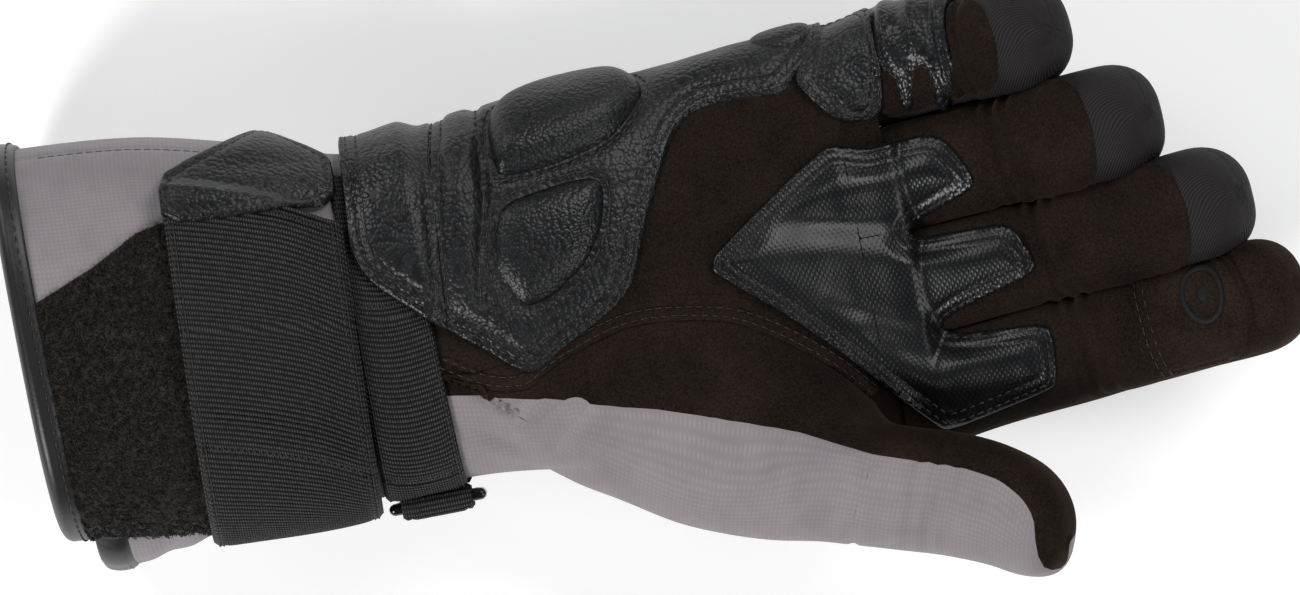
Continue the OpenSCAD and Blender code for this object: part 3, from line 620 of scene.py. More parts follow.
# ---- materials
def add(tree, kind, settings=None, **inputs):
    """Adds one node, sets what settings names, and gives each input its value or link."""
    node = tree.nodes.new("ShaderNode" + kind)
    for key, value in (settings or {}).items():
        setattr(node, key, value)
    for key, value in inputs.items():
        name = key.replace("_", " ") if not key.startswith("i") or not key[1:].isdigit() else None
        socket = node.inputs[int(key[1:])] if name is None else node.inputs[name]
        if isinstance(value, bpy.types.NodeSocket):
            tree.links.new(value, socket)
        else:
            socket.default_value = value
    return node


def rgba(c, factor=1.0):
    """A colour of the panel as four numbers, brightened or darkened by a factor."""
    return (*[min(1.0, v * factor) for v in c], 1.0)


def wave(pitch, direction):
    """Settings and scale of bands one pitch apart: they repeat each 0.314 units, or 0.628 on a diagonal."""
    length = 0.31416 if direction != "DIAGONAL" else 0.62832
    return {"wave_type": "BANDS", "bands_direction": direction}, length / (pitch * MM)


def start(name, **sockets):
    """A new material with its shader, whose even values are set on the shader itself."""
    material = bpy.data.materials.new(name)
    material.use_nodes = True
    tree = material.node_tree
    shader = tree.nodes["Principled BSDF"]
    for key, value in sockets.items():
        shader.inputs[key.replace("_", " ")].default_value = value
    return material, tree, shader


def join(tree, shader, base, bump, strength, depth, roughness=None):
    """Links colour, roughness and a bump of the given depth in mm to the shader."""
    tree.links.new(base, shader.inputs["Base Color"])
    if roughness is not None:
        tree.links.new(roughness, shader.inputs["Roughness"])
    if bump is not None:
        made = add(tree, "Bump", Strength=strength, Distance=depth * MM, Height=bump)
        tree.links.new(made.outputs["Normal"], shader.inputs["Normal"])


def grained_leather(name, c, grain, strength=1.0):
    """Full-grain leather, embossed with a pebble grain and lightly waxed: rounded pebbles, their colour painted
    lighter on the tops as a painted highlight and darker in the valleys as painted shade, and a soft sheen that
    breaks up from pebble to pebble."""
    material, tree, shader = start(name, Roughness=0.36, Specular_IOR_Level=0.34, IOR=1.5)
    at = add(tree, "TexCoord").outputs["Object"]
    warp = add(tree, "TexNoise", Vector=at, Scale=240.0, Detail=2.0)
    moved = add(tree, "Mix", {"data_type": "VECTOR"}, i0=0.0014, i4=at, i5=warp.outputs["Color"])
    cells = add(tree, "TexVoronoi", {"feature": "SMOOTH_F1"}, Vector=moved.outputs[1],
                Scale=1 / (grain * MM), Smoothness=0.2)
    square = add(tree, "Math", {"operation": "POWER"}, i0=cells.outputs["Distance"], i1=2.0)
    fine = add(tree, "TexNoise", Vector=at, Scale=2200.0, Detail=2.0)
    pebble = add(tree, "MapRange", Value=square.outputs[0], From_Min=0.0, From_Max=0.5, To_Min=1.0,
                 To_Max=0.0)
    height = add(tree, "Math", {"operation": "MULTIPLY_ADD"}, i0=fine.outputs["Fac"], i1=0.07,
                 i2=pebble.outputs[0])
    worn = add(tree, "TexNoise", Vector=at, Scale=45.0, Detail=3.0)
    # Painted highlight and painted shade: the colour runs from dark in the pebble valleys to light on the pebble
    # tops, following the same pebble height as the bump.
    base = add(tree, "Mix", {"data_type": "RGBA"}, i0=pebble.outputs[0], i6=rgba(c, 0.35),
               i7=rgba(c, 1.15))
    rough = add(tree, "MapRange", Value=worn.outputs["Fac"], From_Min=0.3, From_Max=0.7, To_Min=0.3,
                To_Max=0.46)
    join(tree, shader, base.outputs[2], height.outputs[0], 0.5 * strength, 0.3, rough.outputs[0])
    return material


def brushed_suede(name, c, light=1.8):
    """Microfibre suede, sanded to a short nap: no gloss, lighter streaks where the nap is brushed, a warm bloom
    where it is seen edge on."""
    material, tree, shader = start(name, Roughness=0.95, Specular_IOR_Level=0.06, Sheen_Weight=0.12,
                                   Sheen_Roughness=0.4,
                                   Sheen_Tint=rgba(linear("#b59a84")))
    at = add(tree, "TexCoord").outputs["Object"]
    nap = add(tree, "TexNoise", Vector=at, Scale=1700.0, Detail=4.0)
    brushed = add(tree, "TexNoise", Vector=at, Scale=55.0, Detail=4.0, Roughness=0.6)
    both = add(tree, "Math", {"operation": "MULTIPLY_ADD"}, i0=nap.outputs["Fac"], i1=0.65,
               i2=add(tree, "Math", {"operation": "MULTIPLY"}, i0=brushed.outputs["Fac"],
                      i1=0.5).outputs[0])
    tone = add(tree, "MapRange", Value=both.outputs[0], From_Min=0.4, From_Max=0.76)
    base = add(tree, "Mix", {"data_type": "RGBA"}, i0=tone.outputs[0], i6=rgba(c, 0.35),
               i7=rgba(c, light))
    join(tree, shader, base.outputs[2], nap.outputs["Fac"], 0.6, 0.2)
    return material


def woven_softshell(name, c, pitch):
    """Stretch softshell, woven of textured nylon: a fine grid of small raised squares, painted a little lighter on
    the squares as a painted highlight and darker in the gaps as painted shade, matt, a little cloudy.
    """
    material, tree, shader = start(name, Roughness=0.88, Specular_IOR_Level=0.25, Sheen_Weight=0.08)
    cloth = add(tree, "TexCoord").outputs["UV"]
    at = add(tree, "TexCoord").outputs["Object"]
    bands = []
    for direction in ("X", "Y"):
        settings, scale = wave(pitch, direction)
        bands.append(add(tree, "TexWave", settings, Vector=cloth, Scale=scale, Distortion=0.6,
                         Detail=1.0, Detail_Scale=3.0).outputs["Fac"])
    grid = add(tree, "Math", {"operation": "MULTIPLY"}, i0=bands[0], i1=bands[1])
    cloud = add(tree, "TexNoise", Vector=at, Scale=140.0, Detail=5.0)
    mixed = add(tree, "Math", {"operation": "MULTIPLY_ADD"}, i0=grid.outputs[0], i1=0.42,
                i2=add(tree, "Math", {"operation": "MULTIPLY"}, i0=cloud.outputs["Fac"],
                       i1=0.7).outputs[0])
    # Painted highlight and painted shade: the grid that raises the squares in the bump also lightens them and
    # darkens the gaps, on top of a random cloud of tone.
    base = add(tree, "Mix", {"data_type": "RGBA"}, i0=mixed.outputs[0], i6=rgba(c, 0.78),
               i7=rgba(c, 1.2))
    join(tree, shader, base.outputs[2], grid.outputs[0], 0.4, 0.16)
    return material


def twilled_softshell(name, c, pitch=0.8):
    """Softshell with a twill face: fine slanting lines, their crests painted lighter as a painted highlight and
    their grooves darker as painted shade, matt.
    """
    material, tree, shader = start(name, Roughness=0.7, Specular_IOR_Level=0.2)
    cloth = add(tree, "TexCoord").outputs["UV"]
    at = add(tree, "TexCoord").outputs["Object"]
    settings, scale = wave(pitch * 1.414, "DIAGONAL")
    line = add(tree, "TexWave", settings, Vector=cloth, Scale=scale, Distortion=0.4, Detail=1.0,
               Detail_Scale=4.0)
    fibre = add(tree, "TexNoise", Vector=at, Scale=1300.0, Detail=3.0)
    tone = add(tree, "Math", {"operation": "MULTIPLY_ADD"}, i0=line.outputs["Fac"], i1=0.8,
               i2=add(tree, "Math", {"operation": "MULTIPLY"}, i0=fibre.outputs["Fac"],
                      i1=0.3).outputs[0])
    # Painted highlight and painted shade: the same wave as the bump makes the crests of the twill lines lighter and
    # their grooves darker, with a little random fibre noise.
    base = add(tree, "Mix", {"data_type": "RGBA"}, i0=tone.outputs[0], i6=rgba(c, 0.3), i7=rgba(c, 1.5))
    join(tree, shader, base.outputs[2], line.outputs["Fac"], 0.7, 0.18)
    return material


def coated_grip(name, c):
    """Polyurethane-coated grip weave: small diamonds under a smooth coat, their tops painted lighter as a painted
    highlight and the creases between them darker as painted shade; satin, with long soft highlights.
    """
    material, tree, shader = start(name, Roughness=0.3, Specular_IOR_Level=0.36, IOR=1.5)
    at = add(tree, "TexCoord").outputs["Object"]
    bands = []
    for degrees in (34, -34):
        turned = add(tree, "Mapping", Vector=at, Rotation=(0, 0, math.radians(degrees)))
        settings, scale = wave(1.1, "X")
        bands.append(add(tree, "TexWave", settings, Vector=turned.outputs[0],
                         Scale=scale).outputs["Fac"])
    diamond = add(tree, "Math", {"operation": "MULTIPLY"}, i0=bands[0], i1=bands[1])
    cloud = add(tree, "TexNoise", Vector=at, Scale=120.0, Detail=2.0)
    # Painted highlight and painted shade: the diamond pattern of the bump also makes the diamonds' tops lighter and
    # the creases between them darker.
    base = add(tree, "Mix", {"data_type": "RGBA"}, i0=diamond.outputs[0], i6=rgba(c, 0.5),
               i7=rgba(c, 1.5))
    rough = add(tree, "MapRange", Value=cloud.outputs["Fac"], From_Min=0.3, From_Max=0.7, To_Min=0.28,
                To_Max=0.38)
    join(tree, shader, base.outputs[2], diamond.outputs[0], 0.4, 0.12, rough.outputs[0])
    return material


def ribbed_webbing(name, c, pitch):
    """Polyester webbing woven on a narrow loom: the gaps between ribs painted black as painted shade, and the small
    threads on the ribs painted light grey as a painted highlight where they would catch the light.
    """
    material, tree, shader = start(name, Roughness=0.6, Specular_IOR_Level=0.2)
    cloth = add(tree, "TexCoord").outputs["UV"]
    at = add(tree, "TexCoord").outputs["Object"]
    across, scale_a = wave(0.62, "X")
    along, scale_b = wave(pitch, "Y")
    thread = add(tree, "TexWave", across, Vector=cloth, Scale=scale_a, Distortion=0.5)
    rib = add(tree, "TexWave", along, Vector=cloth, Scale=scale_b)
    rib_thread_and_highlight = add(tree, "Math", {"operation": "MULTIPLY"}, i0=thread.outputs["Fac"], i1=rib.outputs["Fac"])
    fibre = add(tree, "TexNoise", Vector=at, Scale=900.0, Detail=3.0)
    tone = add(tree, "MapRange",
               Value=add(tree, "Math", {"operation": "MULTIPLY"}, i0=rib_thread_and_highlight.outputs[0],
                                                     i1=fibre.outputs["Fac"]).outputs[0], From_Min=0.06,
                                                     From_Max=0.42)
    # Painted shade and painted highlight: nearly black in the gaps between ribs, light grey on the ribs' threads,
    # from the same mask that raises the bump.
    base = add(tree, "Mix", {"data_type": "RGBA"}, i0=tone.outputs[0], i6=rgba(c, 0.35),
               i7=rgba(c, 11.0))
    join(tree, shader, base.outputs[2], rib_thread_and_highlight.outputs[0], 0.8, 0.3)
    return material


def looped_pile(name, c):
    """Brushed nylon loops: a dense matt pile, its hollows painted dark as painted shade and its tips painted lighter
    as a painted highlight.
    """
    material, tree, shader = start(name, Roughness=1.0, Specular_IOR_Level=0.1, Sheen_Weight=0.1)
    at = add(tree, "TexCoord").outputs["Object"]
    curl = add(tree, "TexNoise", Vector=at, Scale=1150.0, Detail=4.0, Distortion=1.6)
    tone = add(tree, "MapRange", Value=curl.outputs["Fac"], From_Min=0.42, From_Max=0.68)
    # Painted shade and painted highlight: the colour follows the same curl noise as the bump, dark in the hollows
    # and light on the tips.
    base = add(tree, "Mix", {"data_type": "RGBA"}, i0=tone.outputs[0], i6=rgba(c, 0.35),
               i7=rgba(c, 3.4))
    join(tree, shader, base.outputs[2], curl.outputs["Fac"], 0.9, 0.5)
    return material


def fine_surface(name, c, roughness, scale, strength, depth, spread=0.25, specular=0.5, coat=0.0):
    """A plain finish with its own fine texture: bound edge, moulded part, fleece or thread."""
    material, tree, shader = start(name, Roughness=roughness, Specular_IOR_Level=specular, Coat_Weight=coat)
    at = add(tree, "TexCoord").outputs["Object"]
    grain = add(tree, "TexNoise", Vector=at, Scale=scale, Detail=4.0)
    base = add(tree, "Mix", {"data_type": "RGBA"}, i0=grain.outputs["Fac"], i6=rgba(c, 1 - spread),
               i7=rgba(c, 1 + spread))
    join(tree, shader, base.outputs[2], grain.outputs["Fac"], strength, depth)
    return material


def finish(name):
    """The material of that name, made when it is first asked for."""
    if name in bpy.data.materials:
        return bpy.data.materials[name]
    c, grain, weave, rib = bpy.context.scene.glove_colours, mm("grain"), mm("weave"), mm("rib")
    makers = {
        "pebbled_leather": lambda: grained_leather(name, c.leather, grain),
        "smooth_leather": lambda: grained_leather(name, c.leather, grain * 0.8, 0.8),
        "microfibre_suede": lambda: brushed_suede(name, c.suede),
        "touch_suede": lambda: brushed_suede(name, [v * 1.2 for v in c.suede], 1.8),
        "grey_softshell": lambda: woven_softshell(name, c.grey, weave),
        "charcoal_twill": lambda: twilled_softshell(name, c.charcoal),
        "coated_grip_weave": lambda: coated_grip(name, c.grip),
        "ribbed_webbing": lambda: ribbed_webbing(name, c.webbing, rib),
        "loop_pile": lambda: looped_pile(name, c.pile),
        # Split leather folded over an edge: fine grain and a dull shine
        "leather_binding": lambda: fine_surface(name, c.binding, 0.42, 1500.0, 0.35, 0.15),
        # Acetal, injection moulded: nearly smooth and glossy
        "acetal_plastic": lambda: fine_surface(name, c.plastic, 0.16, 500.0, 0.04, 0.05, 0.1, 0.6),
        # Thermoplastic rubber, moulded in a spark-eroded tool: an even matt texture
        "moulded_rubber": lambda: fine_surface(name, c.rubber, 0.62, 3200.0, 0.3, 0.1, specular=0.15),
        # Polyester fleece: brushed, matt, cloudy
        "brushed_fleece": lambda: fine_surface(name, c.fleece, 1.0, 1400.0, 0.8, 0.4, 0.5, 0.1),
        # Bonded polyester thread: smooth, with a faint shine
        "polyester_thread": lambda: fine_surface(name, c.thread, 0.5, 3000.0, 0.2, 0.05, 0.3),
        "grey_thread": lambda: fine_surface(name, [v * 0.8 for v in c.grey], 0.6, 3000.0, 0.2, 0.05, 0.3),
    }
    return makers[name]()


# ---- pieces of the cuff
def around(start_angle, end_angle, n):
    """Angles in radians, evenly from one to the other in degrees."""
    return np.radians(np.linspace(start_angle, end_angle, n))


def cloth_uv(u, v):
    """Length along and round the tube, in mm, for the weave."""
    return np.stack([u, v * 45], -1)


class GLOVE_OT_cuff(bpy.types.Operator):
    """The grey softshell cuff, its fleece lining and the leather binding round its mouth"""

    bl_idname = "glove.cuff"
    bl_label = "Cuff"

    def execute(self, context):
        turn = around(0, 360, 181)[:-1]
        x = np.linspace(MOUTH_X + 1, WRIST_X + 2, 70)

        def shell(u, v):
            seam = hump((np.degrees(v) + 180) % 360 - 180 - 24, 1.4)
            return hand_point(u, v, -0.5 * seam)

        outer = tube("cuff_softshell", shell, x, turn, finish("grey_softshell"), cloth_uv,
                     thick=2.2,
                     flip=True)
        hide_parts("cuff_shell")
        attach(outer, "hand")
        inner = tube("cuff_fleece", lambda u, v: hand_point(u, v, -2.5), x, turn, finish("brushed_fleece"),
                     cloth_uv,
                     thick=1.8, flip=True)
        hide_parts("cuff_lining")
        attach(inner, "hand")
        # The binding: from 4.2 mm along the outside, over the mouth in a round lip, and back along the inside
        lip = np.linspace(0, math.pi, 15)
        along = np.concatenate([[4.2, 4.0, 3.2, 2, 0.8], -2.6 * np.sin(lip), [1, 4, 7, 7.4]])
        out = np.concatenate([[0.1, 0.9, 1.25, 1.5, 1.6], -1.5 + 3.2 * np.cos(lip), [-4.7, -4.9, -5.0, -4.3]])
        k = np.arange(len(along), dtype=float)

        def edge(u, v):
            px, po = np.interp(u, k, along), np.interp(u, k, out)
            p = hand_point(np.maximum(MOUTH_X + px, MOUTH_X), v, po, folded=False)
            p[..., 0] += np.minimum(px, 0)
            return p

        binding = tube("cuff_mouth_binding", edge, np.linspace(0, len(along) - 1, 64), turn,
                       finish("leather_binding"),
                       lambda u, v: np.stack([v * 45, u * 2], -1))
        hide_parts("cuff_binding")
        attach(binding, "hand")
        around_mouth = np.stack([np.full(400, MOUTH_X + 2.3),
                                 np.linspace(q_at(MOUTH_X + 2.3, -150), q_at(MOUTH_X + 2.3, 210), 400)], 1)
        row = threads("cuff_binding_stitches", hand_at, [inset(around_mouth, 0, mm("stitch"), False)], [1.5])
        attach(row, "hand")
        crease = np.stack([np.linspace(MOUTH_X + 10, -118, 60), q_at(np.linspace(MOUTH_X + 10, -118, 60), 24)], 1)
        top = threads("cuff_seam_stitches", hand_at, [inset(crease, 0, 2.4, False)], [-0.35],
                      finish("grey_thread"), 0.14)
        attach(top, "hand")
        return {"FINISHED"}


LOOP_OUTLINE = [(-191.6, 22.5), (-176, 28.5), (-163.5, 35.2), (-157, 36.5), (-128, 36.5), (-122, 30), (-122, -20),
                (-122, -40)]
SLANT = 5.4   # how far the cuff strap leans towards the hand at its upper end


class GLOVE_OT_loop_patch(bpy.types.Operator):
    """The field of small loops that the cuff strap grips"""

    bl_idname = "glove.loop_patch"
    bl_label = "Loop patch"

    def execute(self, context):
        upper = unrolled(spaced(LOOP_OUTLINE, 1.0, False))
        lower = np.array([(-122, q_at(-122, 176)), (-160, q_at(-160, 176)), (-191.6, q_at(-191.6, 177))], float)
        outline = np.vstack([upper, lower])

        def height(d, p):
            soft = np.sqrt(ease(d / 1.6))
            curl = crumple(np.stack([p[:, 0], p[:, 1], 0 * d], 1),
                           1.9) + crumple(np.stack([p[:, 1], p[:, 0], 0 * d], 1), 3.1)
            return LAY + soft * (0.9 + 0.16 * curl)

        ground = patch("loop_pile", hand_at, outline, height, finish("loop_pile"), step=0.9, flip=True)
        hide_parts("loop_patch")
        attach(ground, "hand")
        # Single loops: arches of thread, each at its own place and turn
        rng = np.random.default_rng(11)
        lo, hi = outline.min(0), outline.max(0)
        p = rng.uniform(lo, (-150, hi[1]), size=(9000, 2))
        p = p[inside_of(p, outline) & (line_distance(p, outline, True) > 0.2)]
        turn = rng.uniform(0, math.pi, len(p))
        reach = rng.uniform(0.35, 0.75, len(p))
        step = np.stack([np.cos(turn), np.sin(turn)], 1) * reach[:, None]
        t = np.linspace(0, 1, 5)
        flat = (p - step)[:, None] + 2 * step[:, None] * t[None, :, None]
        tall = rng.uniform(0.35, 1.0, len(p))[:, None] * mm("pile")
        lift = 0.9 + tall * np.sin(math.pi * t)[None]
        line = hand_at(flat, lift)
        side = np.stack([-np.sin(turn), np.cos(turn)], 1)[:, None] * 0.09
        line_b = hand_at(flat + side, lift)
        points = np.stack([line, line_b], 2).reshape(-1, 3)
        one = quads(5, 2)
        faces = (one[None] + (np.arange(len(p)) * 10)[:, None, None]).reshape(-1, 4)
        loops = build("pile_loops", points, [faces], finish("loop_pile"))
        wall = loops.modifiers.new("Thread", "SOLIDIFY")
        wall.thickness, wall.offset = 0.12 * MM, 0
        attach(loops, "hand")
        return {"FINISHED"}


class GLOVE_OT_bellows(bpy.types.Operator):
    """The bellows that lets the cuff's slit open, with its own binding"""

    bl_idname = "glove.bellows"
    bl_label = "Bellows"

    def execute(self, context):
        x0, x1 = MOUTH_X + 10, -158.0

        def swell(u, v, over):
            share = (np.degrees(v) - 168) / 62
            return LAY + over + 10.5 * np.sin(math.pi * np.clip(share, 0, 1)) ** 0.7 * (1 - 0.75
                    * ease((u - x0) / (x1 - x0)))

        def cloth(u, v):
            return hand_point(u, v, swell(u, v, 0.0) + 0.5 * np.sin(u * 0.5 + v * 3) * ease((u - x0 - 4) / 10))

        piece = tube("slit_bellows", cloth, np.linspace(x0, x1, 44), around(168, 230, 50),
                     finish("grey_softshell"), cloth_uv,
                     closed=False, thick=1.6, flip=True)
        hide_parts("cuff_bellows")
        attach(piece, "hand")

        def rim(u, v):
            t = u * 2 * math.pi
            x = x0 - 0.6 + 4.2 * np.cos(t)
            return hand_point(x, v, swell(x, v, -0.6) + 1.7 * np.sin(t) + 0.2)

        edge = tube("bellows_edge_binding", rim, np.linspace(0, 1, 22)[:-1], around(166, 232, 60),
                    finish("leather_binding"),
                    lambda u, v: np.stack([u * 20, v * 45], -1), closed=False)
        close_rows(edge, 21, 60)
        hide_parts("bellows_binding")
        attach(edge, "hand")
        line = np.stack([np.full(60, x0 + 1.8), q_at(x0 + 1.8, np.linspace(171, 226, 60))], 1)
        run = inset(line, 0, mm("stitch"), False)
        angle = np.degrees(read_table(ANGLE_OF, X_TABLE, Q_TABLE, run[:, 0, 0], run[:, 0, 1]))
        high = swell(run[:, 0, 0], np.radians(angle), 0.95)
        row = threads("bellows_stitches", hand_at, [run], [high])
        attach(row, "hand")
        return {"FINISHED"}


def refaced(made, faces):
    """Keeps a piece's points and gives it other faces."""
    mesh = made.data
    points = np.zeros(len(mesh.vertices) * 3)
    mesh.vertices.foreach_get("co", points)
    fresh = bpy.data.meshes.new(made.name)
    fresh.from_pydata(points.reshape(-1, 3), [], faces)
    fresh.polygons.foreach_set("use_smooth", np.ones(len(fresh.polygons), bool))
    fresh.materials.append(mesh.materials[0])
    made.data = fresh
    bpy.data.meshes.remove(mesh)


def close_rows(made, m, n):
    """Joins an open grid's last row to its first, closing a profile's loop, and caps its two ends."""
    j = np.arange(n - 1)
    last = (m - 1) * n + j
    sides = [*quads(m, n).tolist(), *np.stack([last, j, j + 1, last + 1], 1).tolist()]
    refaced(made, sides + [(np.arange(m)[::-1] * n).tolist(), (np.arange(m) * n + n - 1).tolist()])


def close_ring(made, m, n):
    """Closes a tube's rows on themselves, so that it is a ring."""
    i, j = np.meshgrid(np.arange(m), np.arange(n), indexing="ij")
    a, b = (i + 1) % m, (j + 1) % n
    refaced(made, np.stack([i * n + j, a * n + j, a * n + b, i * n + b], -1).reshape(-1, 4).tolist())


# ---- webbing
def web(name, surface, width, length, place, lift, thick, edge=2.6, cross_seams=(), columns=34):
    """A strap of webbing: ribs across it one pitch apart, each a half round, flattened where it is sewn.
    place(u, v) turns width and length in mm into the surface's own two coordinates."""
    pitch = mm("rib")
    rows = int(length / pitch * 6)
    u = np.linspace(0, width, columns)
    v = np.linspace(0, length, rows)
    uu, vv = np.meshgrid(v, u, indexing="ij")
    rib = np.abs(np.sin(math.pi * uu / pitch)) ** 0.8
    border = np.minimum(vv, width - vv)
    ribbed = ease((border - edge) / 0.8)
    rounded_edge = quarter(border / 0.9)
    high = thick * (0.35 + 0.5 * rounded_edge) + 0.34 * rib * ribbed + 0.12 * rib * (1 - ribbed) * rounded_edge
    high = high - 0.25 * hump(border - edge, 0.5)
    for at in cross_seams:
        high = high - 0.3 * ease((1.7 - np.abs(uu - at)) / 0.5)
    flat = place(vv, uu)
    top = surface(flat, lift + high)
    low = surface(flat, np.full(flat.shape[:2], lift + 0.0))
    n = columns
    points = np.concatenate([top.reshape(-1, 3), low.reshape(-1, 3)])
    count = rows * n
    i, j = np.arange(rows - 1), np.arange(n - 1)
    faces = [quads(rows, n), quads(rows, n, flip=True, first=count)]
    a, b = i * n, (i + 1) * n
    faces.append(np.stack([a, a + count, b + count, b], 1)[:, ::-1])
    c, d = i * n + n - 1, (i + 1) * n + n - 1
    faces.append(np.stack([c, d, d + count, c + count], 1)[:, ::-1])
    faces.append(np.stack([j, j + 1, j + 1 + count, j + count], 1)[:, ::-1])
    k = (rows - 1) * n + j
    faces.append(np.stack([k, k + count, k + 1 + count, k + 1], 1)[:, ::-1])
    uv = np.concatenate([np.stack([vv, uu], -1).reshape(-1, 2)] * 2)
    return build(name, points, faces, finish("ribbed_webbing"), uv)


def strap_place(q0, q1, lean=SLANT):
    """Where a point of the cuff strap lies: u across from its left edge, v along it from its upper end."""
    def place(u, v):
        q = q0 + v
        share = np.clip((q1 - q) / (q1 - q0), 0, 1)
        return np.stack([-161 + u + lean * share, q], -1)
    return place


def strap_rows(place, length, sides, seams, first, last):
    """A strap's stitches: a straight row at each distance in sides, and a zigzag at each seam's place and spread."""
    along = np.linspace(1, length - 1, 300)
    rows = [inset(place(np.full(300, across), along), 0, 1.9, False) for across in sides]
    u = np.arange(first, last, 0.75)
    for at, spread in seams:
        p = place(u, at + spread * np.where(np.arange(len(u)) % 2, 1, -1))
        rows.append(np.stack([p[:-1], p[1:]], 1))
    return rows


class GLOVE_OT_cuff_strap(bpy.types.Operator):
    """The wide webbing strap with its hook strip and leather pull tab, and the end that is sewn to the cuff"""

    bl_idname = "glove.cuff_strap"
    bl_label = "Cuff strap"

    def execute(self, context):
        lift = 3.0
        q0, q1 = float(q_at(-139, 56)), float(q_at(-139, 184))
        place = strap_place(q0, q1)
        seam_at = float(q_at(-139, 122)) - q0
        strap = web("cuff_webbing", hand_at, 42.5, q1 - q0, place, lift, mm("webbing"), 3.2, (seam_at, 2.5))
        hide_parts("cuff_strap")
        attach(strap, "cuff_strap")
        rows = strap_rows(place, q1 - q0, (1.3, 2.3, 40.2, 41.2), ((seam_at, 0.9), (2.5, 0.7)), 3.4, 39.4)
        sewing = threads("cuff_strap_stitches", hand_at, rows,
                         [lift + 1.75, lift + 1.75, lift + 1.75, lift + 1.75,
                                                               lift + 1.5, lift + 1.5], radius=0.2)
        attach(sewing, "cuff_strap")
        hook_outline = np.array([(-153.5, q0 + 3), (-117, q0 + 3), (-119.5, q0 + 48), (-156.5, q0 + 48)])
        hook = patch("hook_strip", hand_at, spaced(hook_outline, 1.0), lambda d, p: 2.0 + 0.9 * ease(d),
                     finish("loop_pile"),
                     step=1.6, low=1.95, flip=True)
        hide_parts("hook_pad")
        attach(hook, "cuff_strap")
        # The tab stands over the strap's end
        tab = [(-156.3, 33.5), (-155.8, 43.5), (-153.9, 47.2), (-132.8, 52.6), (-129.2, 52.6), (-114.2, 43.6),
               (-112.8, 41.2),
               (-113.2, 31.8), (-125, 31.6), (-140, 32)]
        tab_q = plan_outline(tab)

        def tab_height(d, p):
            over = ease((p[:, 1] - (q0 - 4)) / 5)
            return 2.4 + (lift + 1.9 - 2.4) * over + sewn(mm("leather"), (2.0,), 0.5, base=0)(d, p)

        pull = patch("pull_tab_leather", hand_at, tab_q, tab_height, finish("pebbled_leather"),
                     step=1.0,
                     low=2.3, flip=True)
        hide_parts("pull_tab")
        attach(pull, "cuff_strap")
        run = inset(tab_q, 2.0, 2.6)
        high = tab_height(np.full(len(run), 2.0), run[:, 0])
        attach(threads("pull_tab_stitches", hand_at, [run], [high]), "cuff_strap")
        # The sewn end, from the hinge round to the back
        qa, qb = q1 + 0.6, float(q_at(-139, 236))

        def end_surface(p, o):
            share = np.clip((p[..., 1] - qa) / 22, 0, 1)
            return hand_at(p, o - 2.4 * share)

        end = web("cuff_webbing_end", end_surface, 42.5, qb - qa, lambda u, v: np.stack([-161 + u, qa + v], -1),
                  lift,
                  mm("webbing"), 3.2)
        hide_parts("strap_anchor")
        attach(end, "hand")
        return {"FINISHED"}


class GLOVE_OT_wrist_strap(bpy.types.Operator):
    """The narrow wrist strap, the loops that hold its ring, and the strap that comes from the back"""

    bl_idname = "glove.wrist_strap"
    bl_label = "Wrist strap"

    def execute(self, context):
        lo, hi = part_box("wrist_ring")
        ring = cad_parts["wrist_ring"]
        ring.data.materials.clear()
        ring.data.materials.append(finish("acetal_plastic"))
        q0, q1 = float(q_at(-103.5, 40)), float(q_at(-103.5, 174))

        def place(u, v):
            share = v / (q1 - q0)
            return np.stack([-114.2 + u * (0.92 + 0.16 * share) - 1.8 * share, q0 + v], -1)

        strap = web("wrist_webbing", hand_at, 19.4, q1 - q0, place, 0.35, mm("webbing"), 2.0, (q1 - q0 - 12,), 24)
        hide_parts("wrist_strap")
        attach(strap, "hand")
        seams = ((q1 - q0 - 12, 0.7), (q1 - q0 - 58, 0.7))
        rows = strap_rows(place, q1 - q0, (1.0, 18.4), seams, 2.2, 17.2)
        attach(threads("wrist_strap_stitches", hand_at, rows, [2.1, 2.1, 1.9, 2.1], radius=0.2), "hand")
        # Round the ring's upper bar and its lower bar
        bar_y, bar_z = float(lo.y + 0.0015) / MM, (float(hi.z) / MM - 1.5, float(lo.z) / MM + 1.5)
        qc, qd = float(q_at(-103.5, 190)), float(q_at(-103.5, 250))
        back = web("wrist_webbing_back", hand_at, 18.6, qd - qc, lambda u, v: np.stack([-112.8 + u, qc + v], -1),
                   0.35,
                   mm("webbing"), 2.0, (), 22)
        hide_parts("wrist_strap_back")
        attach(back, "hand")
        for name, z, turn0 in (("wrist_loop_upper", bar_z[0], 20), ("wrist_loop_lower", bar_z[1], -110)):
            def loop(p, o, z=z, turn0=turn0):
                a = np.radians(turn0) + p[..., 1] / 3.4
                return np.stack([p[..., 0], bar_y - (2.1 + o) * np.cos(a), z + (2.1 + o) * np.sin(a)], -1)
            made = web(name, loop, 18.2, 15.5, lambda u, v: np.stack([-112.8 + u, v], -1), 0.0,
                       mm("webbing") * 0.8, 2.0, (), 20)
            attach(made, "hand")
        return {"FINISHED"}


# ---- the hand
def border_angle(x):
    """Degrees at which suede gives way to grey on the hand: GREY_BORDER, then down to the back."""
    knots = np.array([-112, -95.5, -68.2, -60.9])
    y = np.interp(knots, GREY_BORDER[:, 0], GREY_BORDER[:, 1])
    yc, w = section(knots)[:2]
    a = np.degrees(angle_across((y - yc) / w))
    return track(x, np.append(knots, [-50, -42, 30]), np.append(a, [176, 204, 204]))


def back_angle(x):
    """Angle where the back panel begins, in degrees."""
    return 250 - 44 * ease((x + 60) / 22)


def strip(low, high):
    """A surface between two borders: rows at x, columns from the low angle to the high one, in shares."""
    return lambda u, v: hand_point(u, np.radians(low(u) + (high(u) - low(u)) * v), -1.0 * ease((u - 14) / 3.5))


